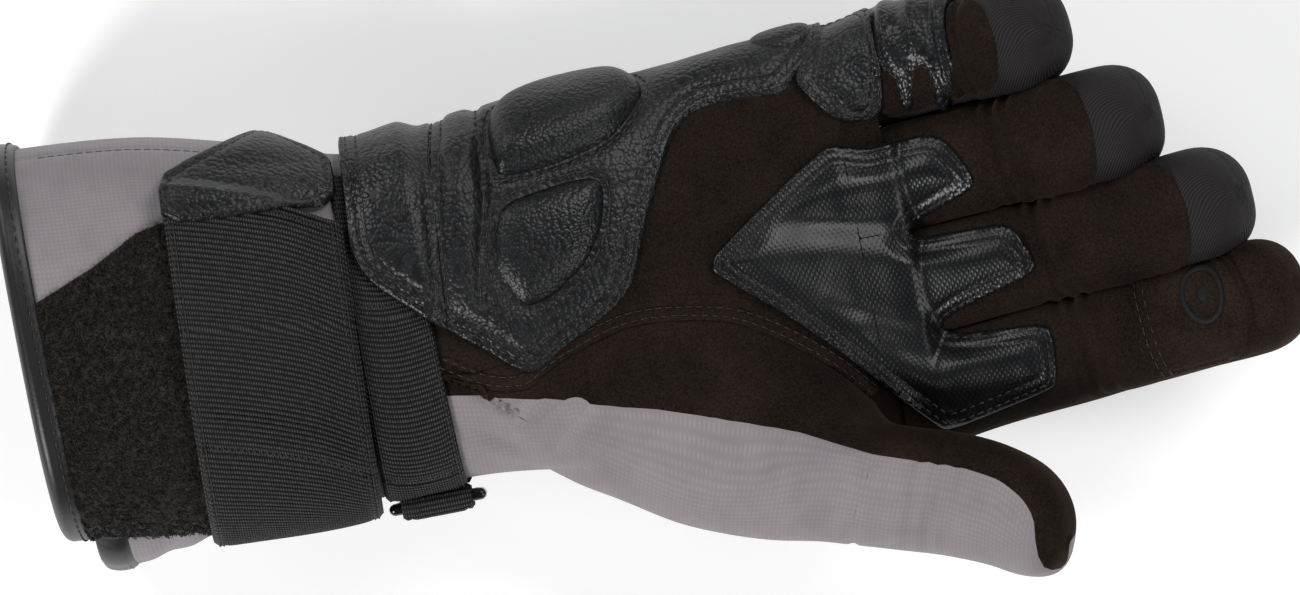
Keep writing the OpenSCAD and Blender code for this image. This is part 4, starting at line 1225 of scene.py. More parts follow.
class GLOVE_OT_hand(bpy.types.Operator):
    """The palm's suede, the grey side under the thumb, the back and the fleece lining"""

    bl_idname = "glove.hand"
    bl_label = "Hand"

    def execute(self, context):
        x = np.linspace(WRIST_X - 3, 24.5, 116)
        share = np.linspace(0, 1, 110)

        def even(u, v):
            return np.stack([u, v * 120], -1)

        palm = tube("palm_suede", strip(lambda u: 8 + 0 * u, border_angle), x, share, finish("microfibre_suede"),
                    even,
                    closed=False, thick=mm("cloth"), flip=True)
        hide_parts("palm_panel")
        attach(palm, "hand")
        side = tube("thumb_side_softshell", strip(border_angle, back_angle), np.linspace(WRIST_X - 3, -43, 60),
                    np.linspace(0, 1, 50), finish("grey_softshell"), lambda u, v: np.stack([u, v * 62], -1),
                    closed=False, thick=mm("cloth"), flip=True)
        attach(side, "hand")
        back = tube("back_softshell", strip(back_angle, lambda u: 368 + 0 * u), x, share,
                    finish("charcoal_twill"), even, closed=False,
                    thick=mm("cloth"), flip=True)
        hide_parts("back_panel")
        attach(back, "hand")
        inner = tube("hand_fleece", lambda u, v: hand_point(u, v, -2.4), np.linspace(WRIST_X, 20, 50),
                     around(0, 360, 121)[:-1],
                     finish("brushed_fleece"), cloth_uv, thick=1.6, flip=True)
        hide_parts("hand_lining")
        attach(inner, "hand")
        # The welt along the thumb's seam: a fold of suede with two rows of stitches
        seam_q = spaced(rounded(unrolled(THUMB_SEAM[:-1]), 2, False), 1.0, False)
        ahead = np.gradient(seam_q, axis=0)
        normal = np.stack([ahead[:, 1], -ahead[:, 0]], 1) / np.linalg.norm(ahead, axis=1, keepdims=True)
        wide = 6.2 * ease(np.linspace(0, 1, len(seam_q)) * 6) * (0.6 + 0.4
                * ease((1 - np.linspace(0, 1, len(seam_q))) * 5)) + 0.4
        far = seam_q + normal * wide[:, None]
        welt_outline = np.vstack([seam_q, far[::-1]])

        def welt_height(d, p):
            from_seam = line_distance(p, seam_q)
            h = 1.5 * quarter(from_seam) * ease((wide.max() - from_seam) / wide.max())
            for row in (1.6, 3.6):
                h = h - 0.35 * hump(from_seam - row, 0.5)
            return 0.12 + np.maximum(h, -0.05)

        welt = patch("thumb_seam_welt", hand_at, welt_outline, welt_height, finish("microfibre_suede"),
                     step=0.8, flip=True)
        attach(welt, "hand")
        rows = [inset(seam_q + normal * off, 0, mm("stitch") * 0.85, False) for off in (1.6, 3.6)]
        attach(threads("thumb_seam_stitches", hand_at, rows, [1.15, 0.8], radius=0.17), "hand")
        # The ribbed elastic insert beside the seam
        insert = unrolled([(-24, -15.5), (-19, -17.5), (-7, -28), (0, -34.5), (-6.5, -32.6), (-18.5, -23)])
        ribbed = patch("elastic_insert", hand_at, rounded(insert, 1), lambda d, p: 0.9 + 0.5 * ease(d) + 0.25
                       * np.sin(p[:, 0] * 5.2 + p[:, 1] * 2.2), finish("ribbed_webbing"), step=0.7,
                       flip=True)
        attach(ribbed, "hand")
        return {"FINISHED"}


HEEL_OUTLINE = [(14.5, 49), (9, 45), (5, 42), (1.2, 38.9), (-8, 40.2), (-19.1, 40.4), (-25.1, 36.7),
                (-29.3, 31.1),
                (-33.5, 23), (-38.6, 13.5), (-41.5, 6), (-45, -2.1), (-54, -8.3), (-65.9, -13.5), (-71, -17.2),
                (-75.7, -17.3),
                (-83, -10.5), (-92.4, -3.2), (-101, 4.2), (-109.8, 12.2), (-112.4, 19.5), (-111.5, 30),
                (-110.8, 43.2)]
HEEL_JOINT = [(-85.6, 45.5), (-87.8, 37), (-89.3, 29.8), (-91, 17), (-92.1, 4.5), (-91.9, -4)]
HEEL_CROSS = [(-75.6, 45.8), (-76.6, 32.5), (-76.4, 27.3), (-79, 19.9), (-81.5, 10.2), (-82.4, 2)]
UPPER_PAD = [(-73.5, 32.5), (-71.2, 30.5), (-61.9, 30.8), (-50.4, 32.9), (-41.4, 35.6), (-35.6, 41.2),
             (-31.4, 46.5),
             (-39.4, 50.5), (-66.8, 49.0), (-73.5, 45.5)]
LOWER_PAD = [(-74.6, 24.2), (-62, 26.6), (-50.2, 27.6), (-46.6, 25.6), (-47.6, 19), (-49.5, 13.5), (-55.9, 4.9),
             (-63, 0.6),
             (-70.8, -2.2), (-74.6, 1.2), (-78.2, 8.8), (-77.8, 15)]


def stuffed(lift, rise, edge=6.5):
    """Height of a stuffed pad at distance d from its seam: steep at the seam, rounded off over edge mm."""
    def height(d, p):
        t = np.clip(d / edge, 0, 1)
        return lift * ease(d * 2) + rise * (1 - (1 - t) ** 2.4) ** 0.72 + 0.35 * ease(d / 14)
    return height


class GLOVE_OT_heel(bpy.types.Operator):
    """The heel's leather with its two stuffed pads, the flap over the wrist strap and the outer edge"""

    bl_idname = "glove.heel"
    bl_label = "Heel leather"

    def execute(self, context):
        leather, thick = finish("pebbled_leather"), mm("leather")
        # One outline for both pieces: the wrist flap's part and the heel's part, which meet at the double seam
        edge_x = np.array([16, -10, -40, -70, -89, -107, -111.0])
        outer = np.stack([edge_x, q_at(edge_x, [-30, -32, -30, -26, -22, -20, -14])], 1)
        whole = rounded(np.vstack([outer[::-1], unrolled(spaced(rounded(HEEL_OUTLINE, 1, False), 3.0, False))]),
                        1)
        pads = [rounded(unrolled(o), 2) for o in (UPPER_PAD, LOWER_PAD)]
        joint = rounded(np.vstack([[(-85.5, float(q_at(-85.5, -20)))], unrolled(HEEL_JOINT)]), 2, False)
        cross = rounded(np.vstack([[(-75, float(q_at(-75, -20)))], unrolled(HEEL_CROSS)]), 2, False)

        def heel_height(d, p):
            over_strap = 2.9 * ease((-89.5 - p[:, 0]) / 7)
            h = over_strap + sewn(thick, (1.9, 4.5), 0.55, 0.55, 9)(d, p)
            inward = ease((d - 4.5) / 3)
            for pad in pads:
                h = h - 0.9 * hump(line_distance(p, pad, True), 1.5)
            at_joint, at_cross = line_distance(p, joint), line_distance(p, cross)
            h = h - inward * (0.6 * hump(at_joint - 1.3, 0.7) + 0.8 * hump(at_cross, 1.2))
            band = np.minimum(at_joint, at_cross)
            h = h + 0.9 * inward * ease(band / 3.5) * hump(p[:, 0] + 81.5, 7)
            return h + 0.12 * crumple(np.stack([p[:, 0], p[:, 1], 0 * d], 1), 9) * inward

        def half(points, below):
            """The part of the outline on one side of the double seam."""
            bend = np.interp(points[:, 1], *joint.T[::-1][:, np.argsort(joint[:, 1])])
            return keep_side(np.stack([points[:, 0] - bend, points[:, 1], bend], 1), 0, 0.0, below)

        for name, node, below in (("heel_leather_panel", "heel_leather", False),
                                  ("wrist_flap_leather", "wrist_flap", True)):
            kept = half(spaced(whole, 1.0), below)
            part = np.stack([kept[:, 0] + kept[:, 2], kept[:, 1]], 1)
            made = patch(name, hand_at, part, heel_height, leather, step=0.95,
                         low=0.05 if not below else 0.2,
                         rim=whole, flip=True)
            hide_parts(node)
            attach(made, "hand")
        rows = [inset(whole, off, mm("stitch")) for off in (1.9, 4.5)]
        rows += [inset(joint[4:] + [off, 0], 0, mm("stitch"), False) for off in (-1.3, 1.3)]
        rows += [inset(cross[4:], 0, mm("stitch"), False)]
        rows[2:] = [r[line_distance(r[:, 0], whole, True) > 5] for r in rows[2:]]
        level = [heel_height(line_distance(r[:, 0], whole, True), r[:, 0]) + 0.06 for r in rows]
        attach(threads("heel_stitches", hand_at, rows, level), "hand")
        for name, node, pad, rise, edge in (("upper_pad_leather", "upper_heel_pad", pads[0], mm("pad_rise"), 7.5),
                                            ("lower_pad_leather", "lower_heel_pad", pads[1],
                                                    mm("pad_rise") * 0.55, 8)):
            made = patch(name, hand_at, pad, stuffed(1.0, rise, edge), finish("smooth_leather"),
                         step=0.95,
                         low=0.9, flip=True)
            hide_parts(node)
            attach(made, "hand")
            run = inset(pad, -1.3, mm("stitch") * 0.85)
            high = heel_height(np.full(len(run), 12.0), run[:, 0])
            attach(threads(name + "_stitches", hand_at, [run], [high]), "hand")
        # The small pad on the outer edge near the little finger
        turn = np.linspace(0, 2 * math.pi, 40)[:-1]
        middle = np.array([4.0, float(q_at(4.0, 12))])
        oval = middle + np.stack([8.5 * np.cos(turn), 6.5 * np.sin(turn)], 1)
        knob = patch("edge_pad_leather", hand_at, oval, stuffed(1.6, 1.9, 5), leather, step=0.8,
                     low=1.5,
                     flip=True)
        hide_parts("edge_pad")
        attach(knob, "hand")
        return {"FINISHED"}


GRIP_OUTLINE = [(-24.3, 0.5), (-22, 3.6), (8.5, 24.1), (13.5, 23.8), (19.5, 21.6), (26.1, 22), (31.4, 22.6),
                (36, 22.4), (39.3, 20.7),
                (42.3, 15.9), (45.4, 8.6), (44.1, 6.2), (33.6, 2.4), (26.6, -0.4), (28.4, -2.4), (36, -2.8),
                (50, -3.4), (52.4, -4.6),
                (56.8, -14.5), (55.3, -17.6), (44, -20.6), (32.6, -24.2), (30.4, -26.6), (33.5, -28.2),
                (44, -29.2), (54.6, -30.0),
                (57.4, -32.2), (56.2, -45.6), (53.8, -47.2), (40, -50.2), (27.7, -52.6), (24.8, -51.4),
                (-4.3, -18.9), (-23.9, -2.4)]


# Folds of the grip patch: from x, y to x, y, height, half width
GRIP_FOLDS = [(-20, 0, 14, -3, 1.5, 6), (6, -4, 40, -11, 1.5, 6), (0, 13, 34, 12, 1.5, 5.5),
              (-4, 8, 26, 2, -1, 3.4),
              (4, -14, 30, -26, -1, 3.2), (-4, -12, 24, -40, 0.8, 4.5), (20, -38, 46, -38, 1.2, 6),
              (14, -26, 28, -34, -0.6, 3)]


class GLOVE_OT_grip(bpy.types.Operator):
    """The three-pronged grip patch: one piece on the palm that runs on over each finger's knuckle"""

    bl_idname = "glove.grip"
    bl_label = "Grip patch"

    def execute(self, context):
        cut = 14.0   # x where the palm's part ends and the prongs begin
        outline = rounded(GRIP_OUTLINE, 1)
        thick = mm("grip")
        borders = {"index_finger": (-60, -26.6), "middle_finger": (-26.6, -0.2), "ring_finger": (-0.2, 30)}

        def swell(d, p):
            step_up = 0.6 + 0.5 * ease((p[:, 0] - 4) / 14)
            h = step_up + sewn(thick, (1.7, 3.9), 0.45, 0.5, 6)(d, p)
            return h + folds_at(p, GRIP_FOLDS, 0.14, 0.72) * ease((d - 4.0) / 4)

        def over(p, o):
            """The highest of the palm and the three fingers, seen from above, as a surface over (x, y)."""
            levels = [palm_level(np.clip(p[..., 0], -30, 29), p[..., 1]) - 12 * ease((p[..., 0] - 25) / 12)]
            for name in borders:
                d = DIGITS[name]
                s = p[..., 0] - KNUCKLE_X
                c = np.clip((p[..., 1] - d.hinge[1]) / (d.w / 2), -0.9, 0.9)
                for _ in range(6):
                    q = digit_point(d, s, angle_across(c), 0.0)
                    s = s + p[..., 0] - q[..., 0]
                    c = np.clip(c + (p[..., 1] - q[..., 1]) / (d.w / 2), -0.9, 0.9)
                levels.append(q[..., 2] - 9 * ease((12 - p[..., 0]) / 14))
            levels = np.stack(levels)
            soft = 0.5
            z = soft * np.log(np.exp((levels - levels.max(0)) / soft).sum(0)) + levels.max(0)
            return np.stack([p[..., 0], p[..., 1], z + o], -1)

        palm_part = keep_side(outline, 0, cut, True)
        main = patch("grip_patch_palm", over, palm_part, swell, finish("coated_grip_weave"),
                     step=0.9,
                     low=0.1, rim=outline)
        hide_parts("grip_patch")
        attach(main, "hand")
        rows = [inset(outline, off, mm("stitch") * 0.8) for off in (1.6, 3.8)]
        far = [line_distance(r[:, 0], outline, True) for r in rows]
        rows = [r[f > off - 0.3] for r, f, off in zip(rows, far, (1.6, 3.8))]
        on_palm = [r[(r[..., 0] < cut).all(1)] for r in rows]
        level = [swell(np.full(len(r), off), r[:, 0]) + 0.05 for r, off in zip(on_palm, (1.6, 3.8))]
        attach(threads("grip_palm_stitches", over, on_palm, level), "hand")
        for name, (low, high) in borders.items():
            d = DIGITS[name]
            part = keep_side(keep_side(keep_side(outline, 0, cut, False), 1, low, False), 1, high, True)
            prong = patch("grip_patch_" + name, over, part, swell, finish("coated_grip_weave"),
                          step=0.9,
                          low=0.6, rim=outline)
            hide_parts(name + "_grip")
            blend_knuckle(prong, d)
            on = [r[(r[..., 0] > cut).all(1) & (r[..., 1] > low).all(1) & (r[..., 1] < high).all(1)]
                  for r in rows]
            level = [swell(np.full(len(r), off), r[:, 0]) + 0.05 for r, off in zip(on, (1.6, 3.8))]
            blend_knuckle(threads("grip_stitches_" + name, over, on, level), d)
        return {"FINISHED"}


def blend_knuckle(made, d):
    """Bakes the piece's placement into its points; the piece is not bent. The finger's direction at its hinge is
    read but not used.
    """
    ahead = d.read(d.along, 0.0)
    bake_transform(made)


def blend_joint(made, d):
    """Bakes the piece's placement into its points; the piece is not bent. The digit's middle joint and its direction
    there are read but not used.
    """
    at = (d.read(d.path, float(d.lower)) + AXIS_LIFT * d.read(d.out, float(d.lower))) * MM
    ahead = d.read(d.along, float(d.lower))
    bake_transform(made)


def digit_uv(u, v):
    """Length along and round a digit, in mm."""
    return np.stack([u, v * 14], -1)


class GLOVE_OT_fingers(bpy.types.Operator):
    """Four fingers: a twill sleeve with a suede panel on its palm side, sewn in a curve below the tip"""

    bl_idname = "glove.fingers"
    bl_label = "Fingers"

    def execute(self, context):
        turn = around(0, 360, 73)[:-1]
        for name, d in DIGITS.items():
            if d.thumb:
                continue
            first = -10.0
            last = d.length * 0.9985
            tip_rows = np.concatenate([np.arange(d.mid, d.length - 14, 1.2),
                                       d.length - 14 + 13.98 * np.sin(np.linspace(0, math.pi / 2, 16))])
            tip_rows = np.minimum(tip_rows, last)
            surface = lambda u, v, d=d: digit_point(d, u, v)
            tip_finish = "touch_suede" if name == "index_finger" else "charcoal_twill"
            root = tube(name + "_sleeve", surface, np.arange(first, d.mid + 0.6, 1.2)[:-1].tolist() + [d.mid],
                        turn,
                        finish("charcoal_twill"), digit_uv, thick=mm("cloth"), flip=True)
            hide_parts(name + "_root_gusset", name + "_lower_back")
            blend_knuckle(root, d)
            cap = tube(name + "_tip_sleeve", surface, tip_rows, turn, finish(tip_finish), digit_uv,
                       pole=True,
                       thick=mm("cloth"), flip=True)
            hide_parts(name + "_joint_gusset", name + "_tip_back")
            blend_joint(cap, d)
            # The suede panel: straight sides, round end
            end = d.length - (7.5 if name == "index_finger" else 9.0)
            half = {"little_finger": 13.0}.get(name, 15.5)
            round_end = np.linspace(math.pi / 2, -math.pi / 2, 30)
            outline = np.vstack([[(-30, half)], np.stack([end - half * 0.95 + half * 0.95 * np.cos(round_end),
                                                       half * np.sin(round_end)], 1), [(-30, -half)]])
            cloth_height = sewn(0.75, (1.2,), 0.45, 0.4, 6)
            high = lambda dist, p: cloth_height(dist, p) * ease((p[:, 0] - first + 1.5) / 7)
            on_digit = lambda p, o, d=d: digit_at(d, p, o)
            lower = keep_side(keep_side(outline, 0, d.mid, True), 0, first, False)
            upper = keep_side(outline, 0, d.mid, False)
            panel = patch(name + "_panel", on_digit, lower, high, finish("microfibre_suede"),
                          step=1.1,
                          rim=outline, flip=True)
            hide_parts(name + "_lower_palm")
            blend_knuckle(panel, d)
            pad = patch(name + "_tip_panel", on_digit, upper, high, finish("microfibre_suede"),
                        step=1.0,
                        rim=outline, flip=True)
            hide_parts(name + "_tip_palm")
            blend_joint(pad, d)
        return {"FINISHED"}


D_PATCH = [(14, 54.2), (9.2, 49), (5.2, 42.5), (7.0, 38.2), (13.6, 30.4), (19, 28.6), (24.5, 29.2), (27.6, 36.0),
           (28.6, 44), (28.4, 53.6)]
EDGE_LEATHER = [(22, 53.6), (55.5, 52.4), (57.4, 50.5), (53.1, 46.1), (48.1, 40.6), (44.7, 33.5), (42.9, 28.4),
                (40.9, 28.2),
                (39.4, 36.4), (37.6, 39.6), (35.6, 33.4), (33.6, 29.6), (31.4, 30.4), (30.2, 38), (28.2, 40),
                (22, 40)]


class GLOVE_OT_little_finger_leather(bpy.types.Operator):
    """The leather that runs on over the little finger's outer side: a rounded patch, then two tongues"""

    bl_idname = "glove.little_finger_leather"
    bl_label = "Little finger leather"

    def execute(self, context):
        d = DIGITS["little_finger"]
        surface = lambda p, o: digit_at(d, p, o)

        def to_digit(points):
            return laid(surface, points, -26, 40, 24)

        tongue = to_digit(EDGE_LEATHER[1:15])
        tongue = np.vstack([tongue[:1] * [1, 0] + [1.5, -19.5], tongue,
                            [(-6.0, tongue[-1, 1]), (-6.0, -22.0), (12.0, -24.0)]])
        tongue = rounded(tongue, 1)
        folds = [(6, -19, 9, 0, 1.6, 2.2), (14, -22, 15.5, -2, 1.5, 2), (21, -20, 24, -8, 1, 2),
                 (2, -20, 4, -6, -0.8, 1.6)]

        def tongue_height(dist, p):
            return sewn(mm("leather"), (1.4,), 0.3, 0.35, 4)(dist, p) + folds_at(p, folds, 0.15,
                    0.7) * ease(dist / 2)

        lower = keep_side(tongue, 0, d.lower * 1.02, True)
        made = patch("little_finger_leather", surface, lower, tongue_height, finish("pebbled_leather"),
                     step=0.9,
                     rim=tongue, flip=True)
        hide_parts("little_finger_patch")
        blend_knuckle(made, d)
        run = inset(tongue, 1.4, 2.4)
        run = run[(run[..., 0] < d.lower).all(1)]
        blend_knuckle(threads("little_finger_leather_stitches", surface, [run],
                              [tongue_height(np.full(len(run), 1.4), run[:, 0])], radius=0.15), d)
        shape = to_digit(D_PATCH)
        shape = rounded(np.vstack([shape[1:-1], [(1.0, -22.0), (-14.0, -22.0)]]), 2)

        def d_height(dist, p):
            return 1.5 * ease(dist * 2) + sewn(mm("leather"), (1.7, 3.9), 1.3, 0.45, 6, 0)(dist, p)

        disc = patch("knuckle_side_leather", surface, shape, d_height, finish("pebbled_leather"),
                     step=0.9,
                     flip=True)
        blend_knuckle(disc, d)
        rows = [inset(shape, off, 2.4) for off in (1.7, 3.9)]
        blend_knuckle(threads("knuckle_side_stitches", surface, rows,
                              [d_height(np.full(len(r), off), r[:, 0]) for r, off in zip(rows, (1.7, 3.9))]), d)
        # Knitted edging where the leather meets the tip
        path = np.array([(24.5, -21), (23.5, -14), (20.5, -7), (19, -3)], float)
        path = spaced(rounded(path, 2, False), 0.8, False)
        turn = np.linspace(0, 2 * math.pi, 13)[:-1]

        def cord_surface(u, v):
            p = np.stack([np.interp(u, np.arange(len(path)), path[:, k]) for k in (0, 1)], -1)
            p = p + np.stack([1.0 * np.cos(v), 0 * v], -1)
            return surface(p, 1.2 + 0.9 * np.sin(v) + 0.12 * np.sin(u * 4))

        edging = tube("little_finger_edging", cord_surface, np.linspace(0, len(path) - 1, 70), turn,
                      finish("leather_binding"), lambda u, v: np.stack([u, v], -1))
        blend_joint(edging, d)
        return {"FINISHED"}


# Folds of the thumb's softshell near the wrist: from x, y to x, y, height, half width
THUMB_FOLDS = [(-62, -27, -82, -38, -2.4, 2.4), (-56, -29, -74, -43, 1.6, 3.0), (-70, -24, -88, -33, 1.4, 2.6),
               (-78, -24, -92, -36, -1.8, 2.2), (-44, -38, -60, -50, -1.0, 3.0), (-2, -60, -14, -76, -0.9, 2.0),
               (-8, -58, -22, -72, 0.8, 2.6), (12, -66, 8, -80, 0.5, 2.0)]


class GLOVE_OT_thumb(bpy.types.Operator):
    """The thumb: suede over the top and the tip, grey softshell along the side, from the wrist to the tip"""

    bl_idname = "glove.thumb"
    bl_label = "Thumb"

    def execute(self, context):
        d = DIGITS["thumb"]
        cut = 13.0   # distance along the thumb where its base ends and its tip begins
        seam = spaced(rounded(THUMB_SEAM, 1, False), 0.5, False)
        seam_3d = hand_at(unrolled(seam), 0.25)
        border = np.vstack([GREY_BORDER, [(43.2, -100)], [(60, -104)]])

        def inner_angle(s):
            return 60 - 52 * ease((s + 40) / 50)

        def cross_line(degrees):
            """Distance along the thumb of the seam that crosses the grey, a shallow curve."""
            return np.interp(degrees, [20, 60, 100, 140, 180, 220], [10.5, 9.5, 7.0, 5.5, 6.5, 9.0])

        def pulled(s, degrees):
            """The bare thumb, with its inner edge drawn on to the seam and laid over the palm."""
            a = np.radians(degrees)
            sewn_in = -0.7 * hump(s - cross_line(degrees), 0.9) * ease((degrees - angle_of(s)) / 6)
            p = digit_point(d, s, a, sewn_in)
            t = np.clip((s + 94) / (cut + 94), 0, 1) * (len(seam) - 1)
            goal = np.stack([np.interp(t, np.arange(len(seam)), seam_3d[:, k]) for k in range(3)], -1)
            edge = digit_point(d, s, np.radians(inner_angle(s)))
            away = degrees - inner_angle(s)
            share = np.where(away > 0, ease(1 - away / 62), ease(1 + away / 42)) * (1 - ease((s - 3) / 10))
            p = p + share[..., None] * (goal - edge)
            palm = palm_level(np.clip(p[..., 0], -190, 29), p[..., 1]) + 0.35
            over = ease((168 - degrees) / 26) * ease((degrees - inner_angle(s) + 4) / 6) * (1
                    - ease((s + 4) / 14))
            gap = palm - p[..., 2]
            p[..., 2] += over * 0.5 * (gap + np.sqrt(gap**2 + 3.0))
            p[..., 2] += folds_at(p[..., :2], THUMB_FOLDS, 0.1, 0.8) * ease(np.sin(a) * 2 + 0.3)
            return p

        def split_angle(s):
            """Degrees at which GREY_BORDER crosses the thumb: the first grey point round it, smoothed over 8 mm."""
            degrees = np.linspace(26, 215, 190)
            ss, aa = np.meshgrid(s, degrees, indexing="ij")
            p = pulled(ss, aa)
            grey = p[..., 1] < np.interp(p[..., 0], border[:, 0], border[:, 1])
            found = np.where(grey.any(1), degrees[np.argmax(grey, axis=1)], 215.0)
            even = np.arange(s[0], s[-1] + 0.5, 0.5)
            kernel = np.hanning(17) / np.hanning(17).sum()
            smooth = np.convolve(np.pad(np.interp(even, s, found), 8, mode="edge"), kernel, mode="valid")
            return np.interp(s, even, smooth)

        def angle_of(s):
            return np.interp(s, every, split)

        base_rows = np.concatenate([np.arange(-94, cut, 1.5), [cut]])
        tip_rows = np.concatenate([np.arange(cut, d.length - 15, 1.2),
                                   d.length - 15 + 14.98 * np.sin(np.linspace(0, math.pi / 2, 18))])
        tip_rows = np.minimum(tip_rows, d.length * 0.9985)
        every = np.unique(np.concatenate([base_rows, tip_rows]))
        split = np.full(len(every), 400.0)   # no seam is cut while the border is looked for
        split = split_angle(every)
        suede = lambda u, v: pulled(u, -70 + (angle_of(u) + 70) * v)
        grey = lambda u, v: pulled(u, angle_of(u) + (290 - angle_of(u)) * v)
        share = np.linspace(0, 1, 74)
        for name, surface, rows, cloth, slot, node, pole, wide in (
                ("thumb_base_suede", suede, base_rows, "microfibre_suede", "palm_suede",
                 ("thumb_base_palm", "thumb_lower_palm"), False, 54),
                ("thumb_base_softshell", grey, base_rows, "grey_softshell", "softshell_grey",
                 ("thumb_base_back", "thumb_root_gusset", "thumb_lower_back"), False, 64),
                ("thumb_tip_suede", suede, tip_rows, "microfibre_suede", "palm_suede",
                 ("thumb_tip_palm", "thumb_joint_gusset"), True, 38),
                ("thumb_tip_softshell", grey, tip_rows, "grey_softshell", "softshell_grey", ("thumb_tip_back",),
                 True, 46)):
            made = tube(name, surface, rows, share, finish(cloth), lambda u, v: np.stack([u, v * 50], -1),
                        closed=False,
                        pole=pole, thick=mm("cloth"), flip=True)
            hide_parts(*node)
            if pole:
                blend_joint(made, d)
            else:
                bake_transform(made)
        # The cross seam on the grey
        def lifted(p, o):
            e = 0.5
            base = pulled(p[..., 0], p[..., 1])
            n = np.cross(pulled(p[..., 0], p[..., 1] + e) - base, pulled(p[..., 0] + e, p[..., 1]) - base)
            return base + n / (np.linalg.norm(n, axis=-1, keepdims=True) + 1e-9) * np.asarray(o)[..., None]

        degrees = np.linspace(float(angle_of(9.0)) + 3, 222, 200)
        cross = np.stack([cross_line(degrees), degrees], 1)
        b = threads("thumb_cross_stitches", lifted, [inset(cross * [1, 0.28], 0, 1.9, False) / [1, 0.28]], [0.0],
                    finish("grey_thread"), 0.16)
        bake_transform(b)
        return {"FINISHED"}


class GLOVE_OT_touch_pad(bpy.types.Operator):
    """The touch pad on the index fingertip: a cross seam and a raised ring with a dot"""

    bl_idname = "glove.touch_pad"
    bl_label = "Touch pad"

    def execute(self, context):
        d = DIGITS["index_finger"]
        surface = lambda p, o: digit_at(d, p, o)
        s0 = d.lower + 17.0
        end = d.length - 9.0
        half = 13.2
        turn = np.linspace(math.pi / 2, -math.pi / 2, 24)
        outline = np.vstack([[(s0, half)], np.stack([end - 11 + 11 * np.cos(turn), half * np.sin(turn)], 1),
                             [(s0, -half)]])
        base = 1.0
        height = lambda dist, p: base * ease(dist * 2) + sewn(0.7, (1.5,), 0.35, 0.35, 5, 0)(dist, p)
        pad = patch("touch_pad_suede", surface, outline, height, finish("touch_suede"), step=0.8,
                    flip=True)
        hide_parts("touch_pad")
        blend_joint(pad, d)
        rows = [inset(np.array([(s0 + off, half - 1), (s0 + off, 1 - half)]), 0, 2.6, False)
                for off in (1.4, 3.8)]
        blend_joint(threads("touch_pad_stitches", surface, rows, [base + 0.55, base + 0.75], radius=0.17), d)
        centre = laid(surface, np.array([(95.8, -30.7)]), d.lower, d.length - 8, 14)[0]

        def ring(u, v):
            r = 5.6 + 0.75 * np.cos(v)
            p = centre + np.stack([r * np.cos(u), r * np.sin(u)], -1)
            return surface(p, base + 1.1 + 0.5 * np.sin(v))

        mark = tube("touch_mark_ring", ring, np.linspace(0, 2 * math.pi, 61)[:-1],
                    np.linspace(0, 2 * math.pi, 13)[:-1], finish("moulded_rubber"))
        close_ring(mark, 60, 12)
        blend_joint(mark, d)
        small = np.linspace(0, 2 * math.pi, 25)[:-1]
        dot_outline = centre + 1.7 * np.stack([np.cos(small), np.sin(small)], 1)
        dot = patch("touch_mark_dot", surface, dot_outline, lambda dist, p: base + 1.0 + 0.55 * ease(dist * 1.2),
                    finish("moulded_rubber"), step=0.4, low=base + 0.8, flip=True)
        blend_joint(dot, d)
        return {"FINISHED"}


class GLOVE_OT_guard(bpy.types.Operator):
    """The moulded guard over the knuckles, with ridges, flat where the glove rests"""

    bl_idname = "glove.guard"
    bl_label = "Knuckle guard"

    def execute(self, context):
        x = np.array([-21.0, -18, -2, 14, 17.0])
        near, far = q_at(x, [236, 229, 227, 229, 236]), q_at(x, [304, 311, 313, 311, 304])
        outline = rounded(np.vstack([np.stack([x, near], 1), np.stack([x, far], 1)[::-1]]), 2)

        def height(d, p):
            ridge = 0.5 + 0.5 * np.cos(2 * math.pi * (p[:, 1] - near.mean()) / 11.0)
            return 0.3 + 6.6 * quarter(d / 5) - 1.2 * ridge * ease((d - 4) / 3)

        def surface(p, o):
            q = hand_at(p, o)
            q[..., 2] = np.maximum(q[..., 2], 0.0)
            return q

        made = patch("knuckle_guard_moulding", surface, outline, height, finish("moulded_rubber"),
                     step=1.2, flip=True)
        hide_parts("knuckle_guard")
        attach(made, "hand")
        return {"FINISHED"}


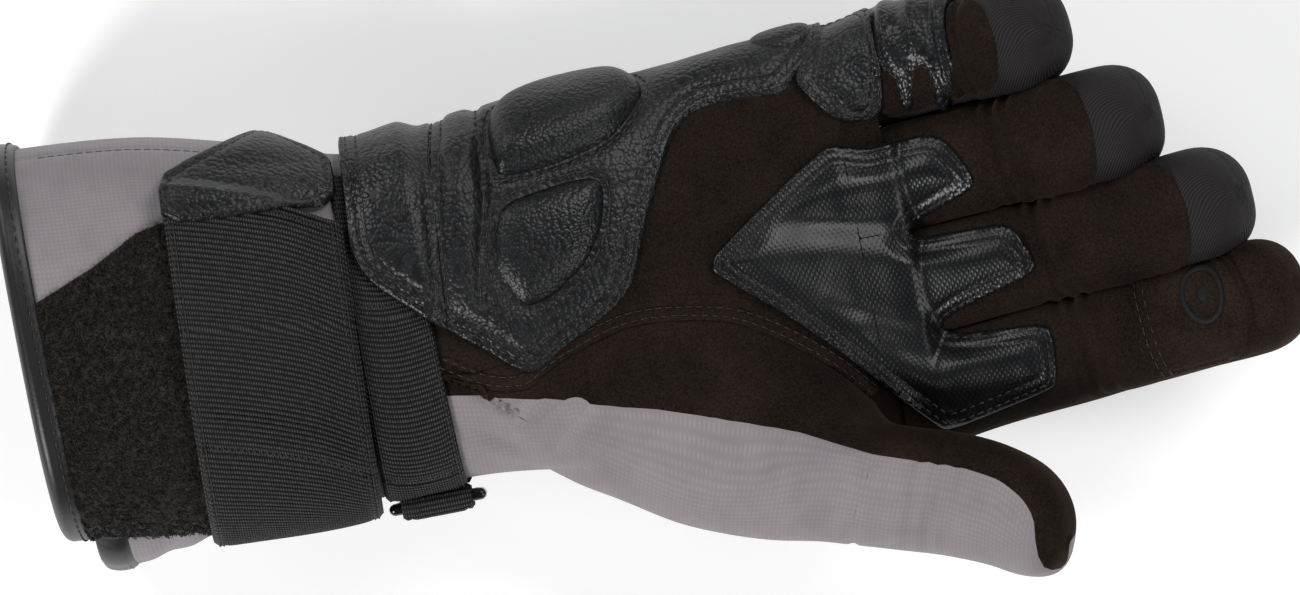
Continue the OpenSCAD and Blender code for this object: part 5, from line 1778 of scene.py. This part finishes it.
class GLOVE_OT_stage(bpy.types.Operator):
    """A pale floor, soft lamps and the camera straight over the palm"""

    bl_idname = "glove.stage"
    bl_label = "Stage"

    def execute(self, context):
        scene = context.scene
        floor_z = -0.0005
        mesh = bpy.data.meshes.new("floor")
        reach = 6.0
        mesh.from_pydata([(-reach, -reach, floor_z), (reach, -reach, floor_z), (reach, reach, floor_z),
                          (-reach, reach, floor_z)],
                         [], [(0, 1, 2, 3)])
        floor = bpy.data.objects.new("floor", mesh)
        scene.collection.objects.link(floor)
        material, _, shader = start("painted_floor", Roughness=0.9, Specular_IOR_Level=0.1)
        shader.inputs["Base Color"].default_value = rgba(scene.glove_colours.floor)
        shader.inputs["Emission Color"].default_value = (1, 1, 1, 1)
        shader.inputs["Emission Strength"].default_value = 0.25
        mesh.materials.append(material)
        world = bpy.data.worlds.new("studio")
        scene.world = world
        world.use_nodes = True
        tree = world.node_tree
        tree.nodes.clear()
        path = add(tree, "LightPath")
        seen = add(tree, "Math", {"operation": "MAXIMUM"}, i0=path.outputs["Is Camera Ray"],
                   i1=path.outputs["Is Transmission Ray"])
        low = add(tree, "Background", Color=(0.95, 0.97, 1.0, 1.0), Strength=0.1)
        high = add(tree, "Background", Color=(1, 1, 1, 1), Strength=1.0)
        both = add(tree, "MixShader", i0=seen.outputs[0], i1=low.outputs[0], i2=high.outputs[0])
        add(tree, "OutputWorld", Surface=both.outputs[0])
        aim = Vector((-0.03, 0.0, 0.03))
        for name, place, width, power in (("key", (-1.1, -0.85, 1.15), 0.55, 24.0),
                ("fill", (1.05, 1.0, 1.3), 1.0, 17.0),
                                          ("rim", (-0.8, 1.2, 1.0), 0.7, 8.0),
                                          ("low", (1.2, -0.8, 1.1), 0.8, 8.0)):
            lamp = bpy.data.lights.new(name, "AREA")
            lamp.size, lamp.energy = width, power
            made = bpy.data.objects.new(name, lamp)
            scene.collection.objects.link(made)
            made.location = place
            made.rotation_euler = (aim - Vector(place)).to_track_quat("-Z", "Y").to_euler()
        camera = bpy.data.cameras.new("camera")
        made = bpy.data.objects.new("camera", camera)
        scene.collection.objects.link(made)
        distance = 2.0
        camera.sensor_width = 36.0
        camera.lens = 36.0 * (distance - 0.032) / 0.3302
        camera.clip_start, camera.clip_end = 0.1, 20
        made.location = (-0.0409, -0.0048, distance)
        made.rotation_euler = (0, 0, math.radians(-11.0))
        scene.camera = made
        scene.view_settings.view_transform = "Standard"
        return {"FINISHED"}


OPERATORS = (GLOVE_OT_cuff, GLOVE_OT_loop_patch, GLOVE_OT_bellows, GLOVE_OT_cuff_strap, GLOVE_OT_wrist_strap,
             GLOVE_OT_hand,
             GLOVE_OT_heel, GLOVE_OT_grip, GLOVE_OT_fingers, GLOVE_OT_little_finger_leather, GLOVE_OT_thumb,
             GLOVE_OT_touch_pad, GLOVE_OT_guard, GLOVE_OT_stage)


class GLOVE_PT_panel(bpy.types.Panel):
    """The glove's pieces, in the order they are made"""

    bl_idname = "GLOVE_PT_panel"
    bl_label = "Ski glove"
    bl_space_type = "VIEW_3D"
    bl_region_type = "UI"
    bl_category = "Glove"

    def draw(self, context):
        for kind in OPERATORS:
            self.layout.operator(kind.bl_idname)
        for group in (context.scene.glove_sizes, context.scene.glove_colours):
            for key in group.__annotations__:
                self.layout.prop(group, key)


CLASSES = (GloveSizes, GloveColours, *OPERATORS, GLOVE_PT_panel)


def register():
    for kind in CLASSES:
        bpy.utils.register_class(kind)
    bpy.types.Scene.glove_sizes = PointerProperty(type=GloveSizes)
    bpy.types.Scene.glove_colours = PointerProperty(type=GloveColours)


def unregister():
    del bpy.types.Scene.glove_sizes
    del bpy.types.Scene.glove_colours
    for kind in reversed(CLASSES):
        bpy.utils.unregister_class(kind)


def main():
    register()
    for kind in OPERATORS:
        group, name = kind.bl_idname.split(".")
        getattr(getattr(bpy.ops, group), name)()
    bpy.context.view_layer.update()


if __name__ == "__main__":
    main()
